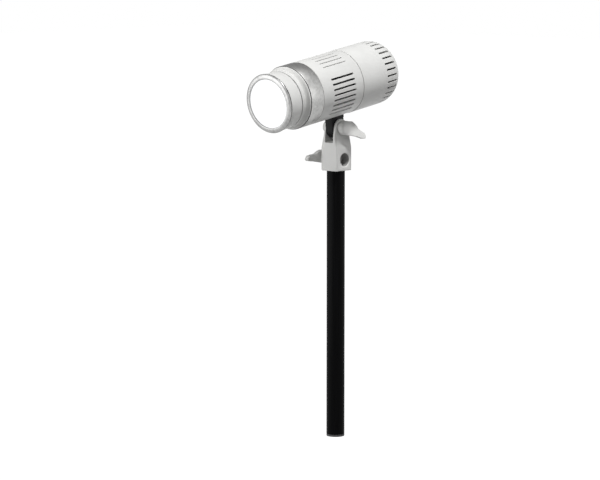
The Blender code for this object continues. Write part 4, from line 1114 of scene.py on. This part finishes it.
def make_rocker():
    """Snap-in frame and its rocking key."""
    face = REAR_FACE
    low = face + 0.3
    frame_plate = block((-7.6, low, -5.3), (7.6, low + 1.6, 5.3))
    ease(frame_plate, sharp_edges(frame_plate, 60), EDGE, 3)
    box = block((-6.5, face - 12.0, -4.2), (6.5, low + 0.4, 4.2), 0.2)
    well = block((-5.4, face - 8.0, -3.3), (5.4, low + 4, 3.3))
    surround = worked(worked(frame_plate, [box], "UNION"), [well])
    place = ON_HEAD @ Matrix.Translation((0, 0, ROCKER_HEIGHT))
    finished("rocker_surround", surround, place, "rocker_frame",
             [head_plastic], 40)
    half_key, half_height, top, dip = 4.3, 2.9, 4.5, 0.3
    outline = [(-4.2, 0.2), (-3.2, -1.6), (3.2, -1.6), (4.2, 0.2), (half_key, top)]
    outline += [(half_key * share, top - dip * (1 - share ** 2))
                for share in (1 - step / 8 for step in range(1, 16))]
    outline += [(-half_key, top)]
    key = plate(outline, -half_height, half_height, "Z")
    ease(key, sharp_edges(key, 50), 0.25, 3)
    turn(key, -12, "Z")
    finished("rocker_key", key, place @ Matrix.Translation((0, face - 2.6, 0)), "rocker_button",
             [head_plastic], 40)


def make_inlet():
    """Round power jack with a collar."""
    rear = REAR_FACE - 12.0
    start = REAR_FACE + 0.3
    end = REAR_FACE + 1.9
    floor = REAR_FACE - 9.0
    barrel, collar, bore = 4.0, 5.6, 2.9
    profile = [(rear, 0), (rear, barrel), (start, barrel), (start, collar), (end - 0.4, collar),
               (end, collar - 0.5), (end, bore), (floor, bore), (floor, 0)]
    finished("inlet_socket", turned(profile, "Y", 72, 0.2, 3),
             ON_HEAD @ Matrix.Translation((0, 0, INLET_HEIGHT)), "power_inlet",
             [head_plastic], 40)


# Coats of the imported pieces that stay


COATS = (
    (stand_steel, "lock_screw tilt_bolt"),
    (stand_brass, "lock_pad lever_insert"),
    (washer_fibre, "washer_left washer_right"),
    (anodised_and_ring_face_shade, "joint_ring guide_tube lens_retainer heat_sink fan_bracket"),
    (bowl_mirror, "reflector"),
    (pale_moulding, "led_board cob_holder"),
    (phosphor_gel, "led_phosphor"),
    (head_plastic, "fan_frame fan_rotor capacitor_1 capacitor_2"),
    (head_steel, "bracket_screw_front bracket_screw_rear cam_pin_1 cam_pin_2 cam_pin_3 "
                 "fan_screw_1 fan_screw_2 fan_screw_3 fan_screw_4 fan_shaft dimmer_pot "
                 "dimmer_shaft inlet_pin"),
    (head_brass, "board_post_1 board_post_2 board_post_3 board_post_4"),
    (green_board, "driver_board terminal_block"),
    (winding_copper, "inductor"),
)


def coat_packed_pieces():
    """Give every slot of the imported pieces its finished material."""
    for coat, names in COATS:
        for name in names.split():
            mesh = nodes[name].data
            if not mesh.materials:
                mesh.materials.append(coat)
            for index in range(len(mesh.materials)):
                mesh.materials[index] = coat


# Studio


def area_lamp(name, spot, aim, size, power):
    """A rectangular soft lamp that faces a point."""
    light = bpy.data.lights.new(name, "AREA")
    light.shape = "RECTANGLE"
    light.size, light.size_y = size
    light.energy = power
    made = bpy.data.objects.new(name, light)
    bpy.context.scene.collection.objects.link(made)
    made.location = spot
    made.rotation_euler = (Vector(aim) - Vector(spot)).to_track_quat("-Z", "Y").to_euler()


def looked_at(tree):
    """One where the camera, a gloss or a glass looks, nought for the light itself."""
    path = tree.nodes.new("ShaderNodeLightPath")
    looked = path.outputs["Is Camera Ray"]
    for ray in ("Is Glossy Ray", "Is Transmission Ray"):
        either = tree.nodes.new("ShaderNodeMath")
        either.operation = "MAXIMUM"
        tree.links.new(looked, either.inputs[0])
        tree.links.new(path.outputs[ray], either.inputs[1])
        looked = either.outputs[0]
    return looked


def levelled(tree, factor, low, high):
    """Range a factor between two levels."""
    level = tree.nodes.new("ShaderNodeMapRange")
    level.inputs[3].default_value = low
    level.inputs[4].default_value = high
    tree.links.new(factor, level.inputs[0])
    return level


def make_sheet(name, size, spot, facing=None):
    """A flat square of studio paper or card."""
    bm = bmesh.new()
    bmesh.ops.create_grid(bm, x_segments=1, y_segments=1, size=size)
    mesh = bpy.data.meshes.new(name)
    bm.to_mesh(mesh)
    bm.free()
    made = bpy.data.objects.new(name, mesh)
    made.location = spot
    if facing:
        made.rotation_euler = (Vector(facing) - Vector(spot)).to_track_quat("Z", "Y").to_euler()
    bpy.context.scene.collection.objects.link(made)
    return made


def plain_paper(name, share):
    """A dull material that can be made to glow, and its node tree."""
    paper = bpy.data.materials.new(name)
    paper.use_nodes = True
    shader = paper.node_tree.nodes["Principled BSDF"]
    shader.inputs["Base Color"].default_value = (share, share, share, 1.0)
    shader.inputs["Roughness"].default_value = 0.9
    shader.inputs["Specular IOR Level"].default_value = 0.0
    shader.inputs["Emission Color"].default_value = (1.0, 1.0, 1.0, 1.0)
    return paper, paper.node_tree, shader.inputs["Emission Strength"]


def make_world():
    """White where it is looked at, dim as a light."""
    world = bpy.data.worlds.new("studio")
    bpy.context.scene.world = world
    world.use_nodes = True
    tree = world.node_tree
    background = tree.nodes["Background"]
    background.inputs["Color"].default_value = (1.0, 1.0, 1.0, 1.0)
    strength = levelled(tree, looked_at(tree), 0.13, 1.0)
    tree.links.new(strength.outputs[0], background.inputs["Strength"])


def make_floor():
    """Pale sweep well below the tube, whose glow fades in with the distance from it."""
    near, far = 0.3, 2.4
    floor = make_sheet("floor", 14, (0, 0, -0.3))
    paper, tree, glow = plain_paper("white_paper", 0.4)
    floor.data.materials.append(paper)
    place = tree.nodes.new("ShaderNodeTexCoord")
    reach = tree.nodes.new("ShaderNodeVectorMath")
    reach.operation = "LENGTH"
    tree.links.new(place.outputs["Object"], reach.inputs[0])
    faded = levelled(tree, reach.outputs["Value"], 0.66, 1.0)
    faded.inputs[1].default_value = near
    faded.inputs[2].default_value = far
    shown = tree.nodes.new("ShaderNodeMath")
    shown.operation = "MULTIPLY"
    tree.links.new(faded.outputs[0], shown.inputs[0])
    tree.links.new(looked_at(tree), shown.inputs[1])
    tree.links.new(shown.outputs[0], glow)


def make_cards():
    """Two grey cards behind the head, seen only as reflections in its bare metal."""
    head = Vector((0, 0, 0.43))
    distance = 1.15
    for name, way, size, level in (("card_above", (-0.3, 0.62, 0.72), 0.8, 0.26),
                                   ("card_below", (0.1, 0.8, -0.6), 0.5, 0.85)):
        card = make_sheet(name, size, head + Vector(way) * distance, head)
        paper, _, glow = plain_paper(name + "_grey", 0.02)
        glow.default_value = level
        card.data.materials.append(paper)
        card.visible_camera = card.visible_diffuse = card.visible_shadow = False


def make_studio():
    """Key lamp from above on the right, a broad one in front and a weak one at the side."""
    make_world()
    make_floor()
    area_lamp("key", (0.97, -0.25, 2.7), (0, 0, 0.4), (0.4, 0.4), 62)
    area_lamp("front_card", (-1.25, -2.25, 0.72), (0, 0, 0.38), (2.8, 2.2), 44)
    area_lamp("side_card", (2.2, 1.15, 0.8), (0, 0, 0.4), (1.3, 1.5), 8.5)
    make_cards()


def make_camera():
    """Long lens at the photograph's angle, aimed a little off the light to frame it."""
    camera_data = bpy.data.cameras.new("camera")
    camera_data.lens = 161.28
    camera_data.sensor_width = 36.0
    camera = bpy.data.objects.new("camera", camera_data)
    bpy.context.scene.collection.objects.link(camera)
    azimuth, elevation, distance = radians(42.58379), radians(6.885589), 3.24976
    aim = Vector((-0.03180, -0.02922, 0.23998))
    back = Vector((sin(azimuth) * cos(elevation), -cos(azimuth) * cos(elevation), sin(elevation)))
    camera.location = aim + back * distance
    camera.rotation_euler = (-back).to_track_quat("-Z", "Y").to_euler()
    bpy.context.scene.camera = camera


make_tube()
make_plug()
make_stud()
make_clamp()
make_bolt_cap()
make_levers()
make_tongue()
make_body()
make_cap()
make_ring()
make_barrel()
make_rim()
make_lens()
make_knob()
make_rocker()
make_inlet()
coat_packed_pieces()
make_studio()
make_camera()
bpy.context.scene.view_settings.view_transform = "Standard"
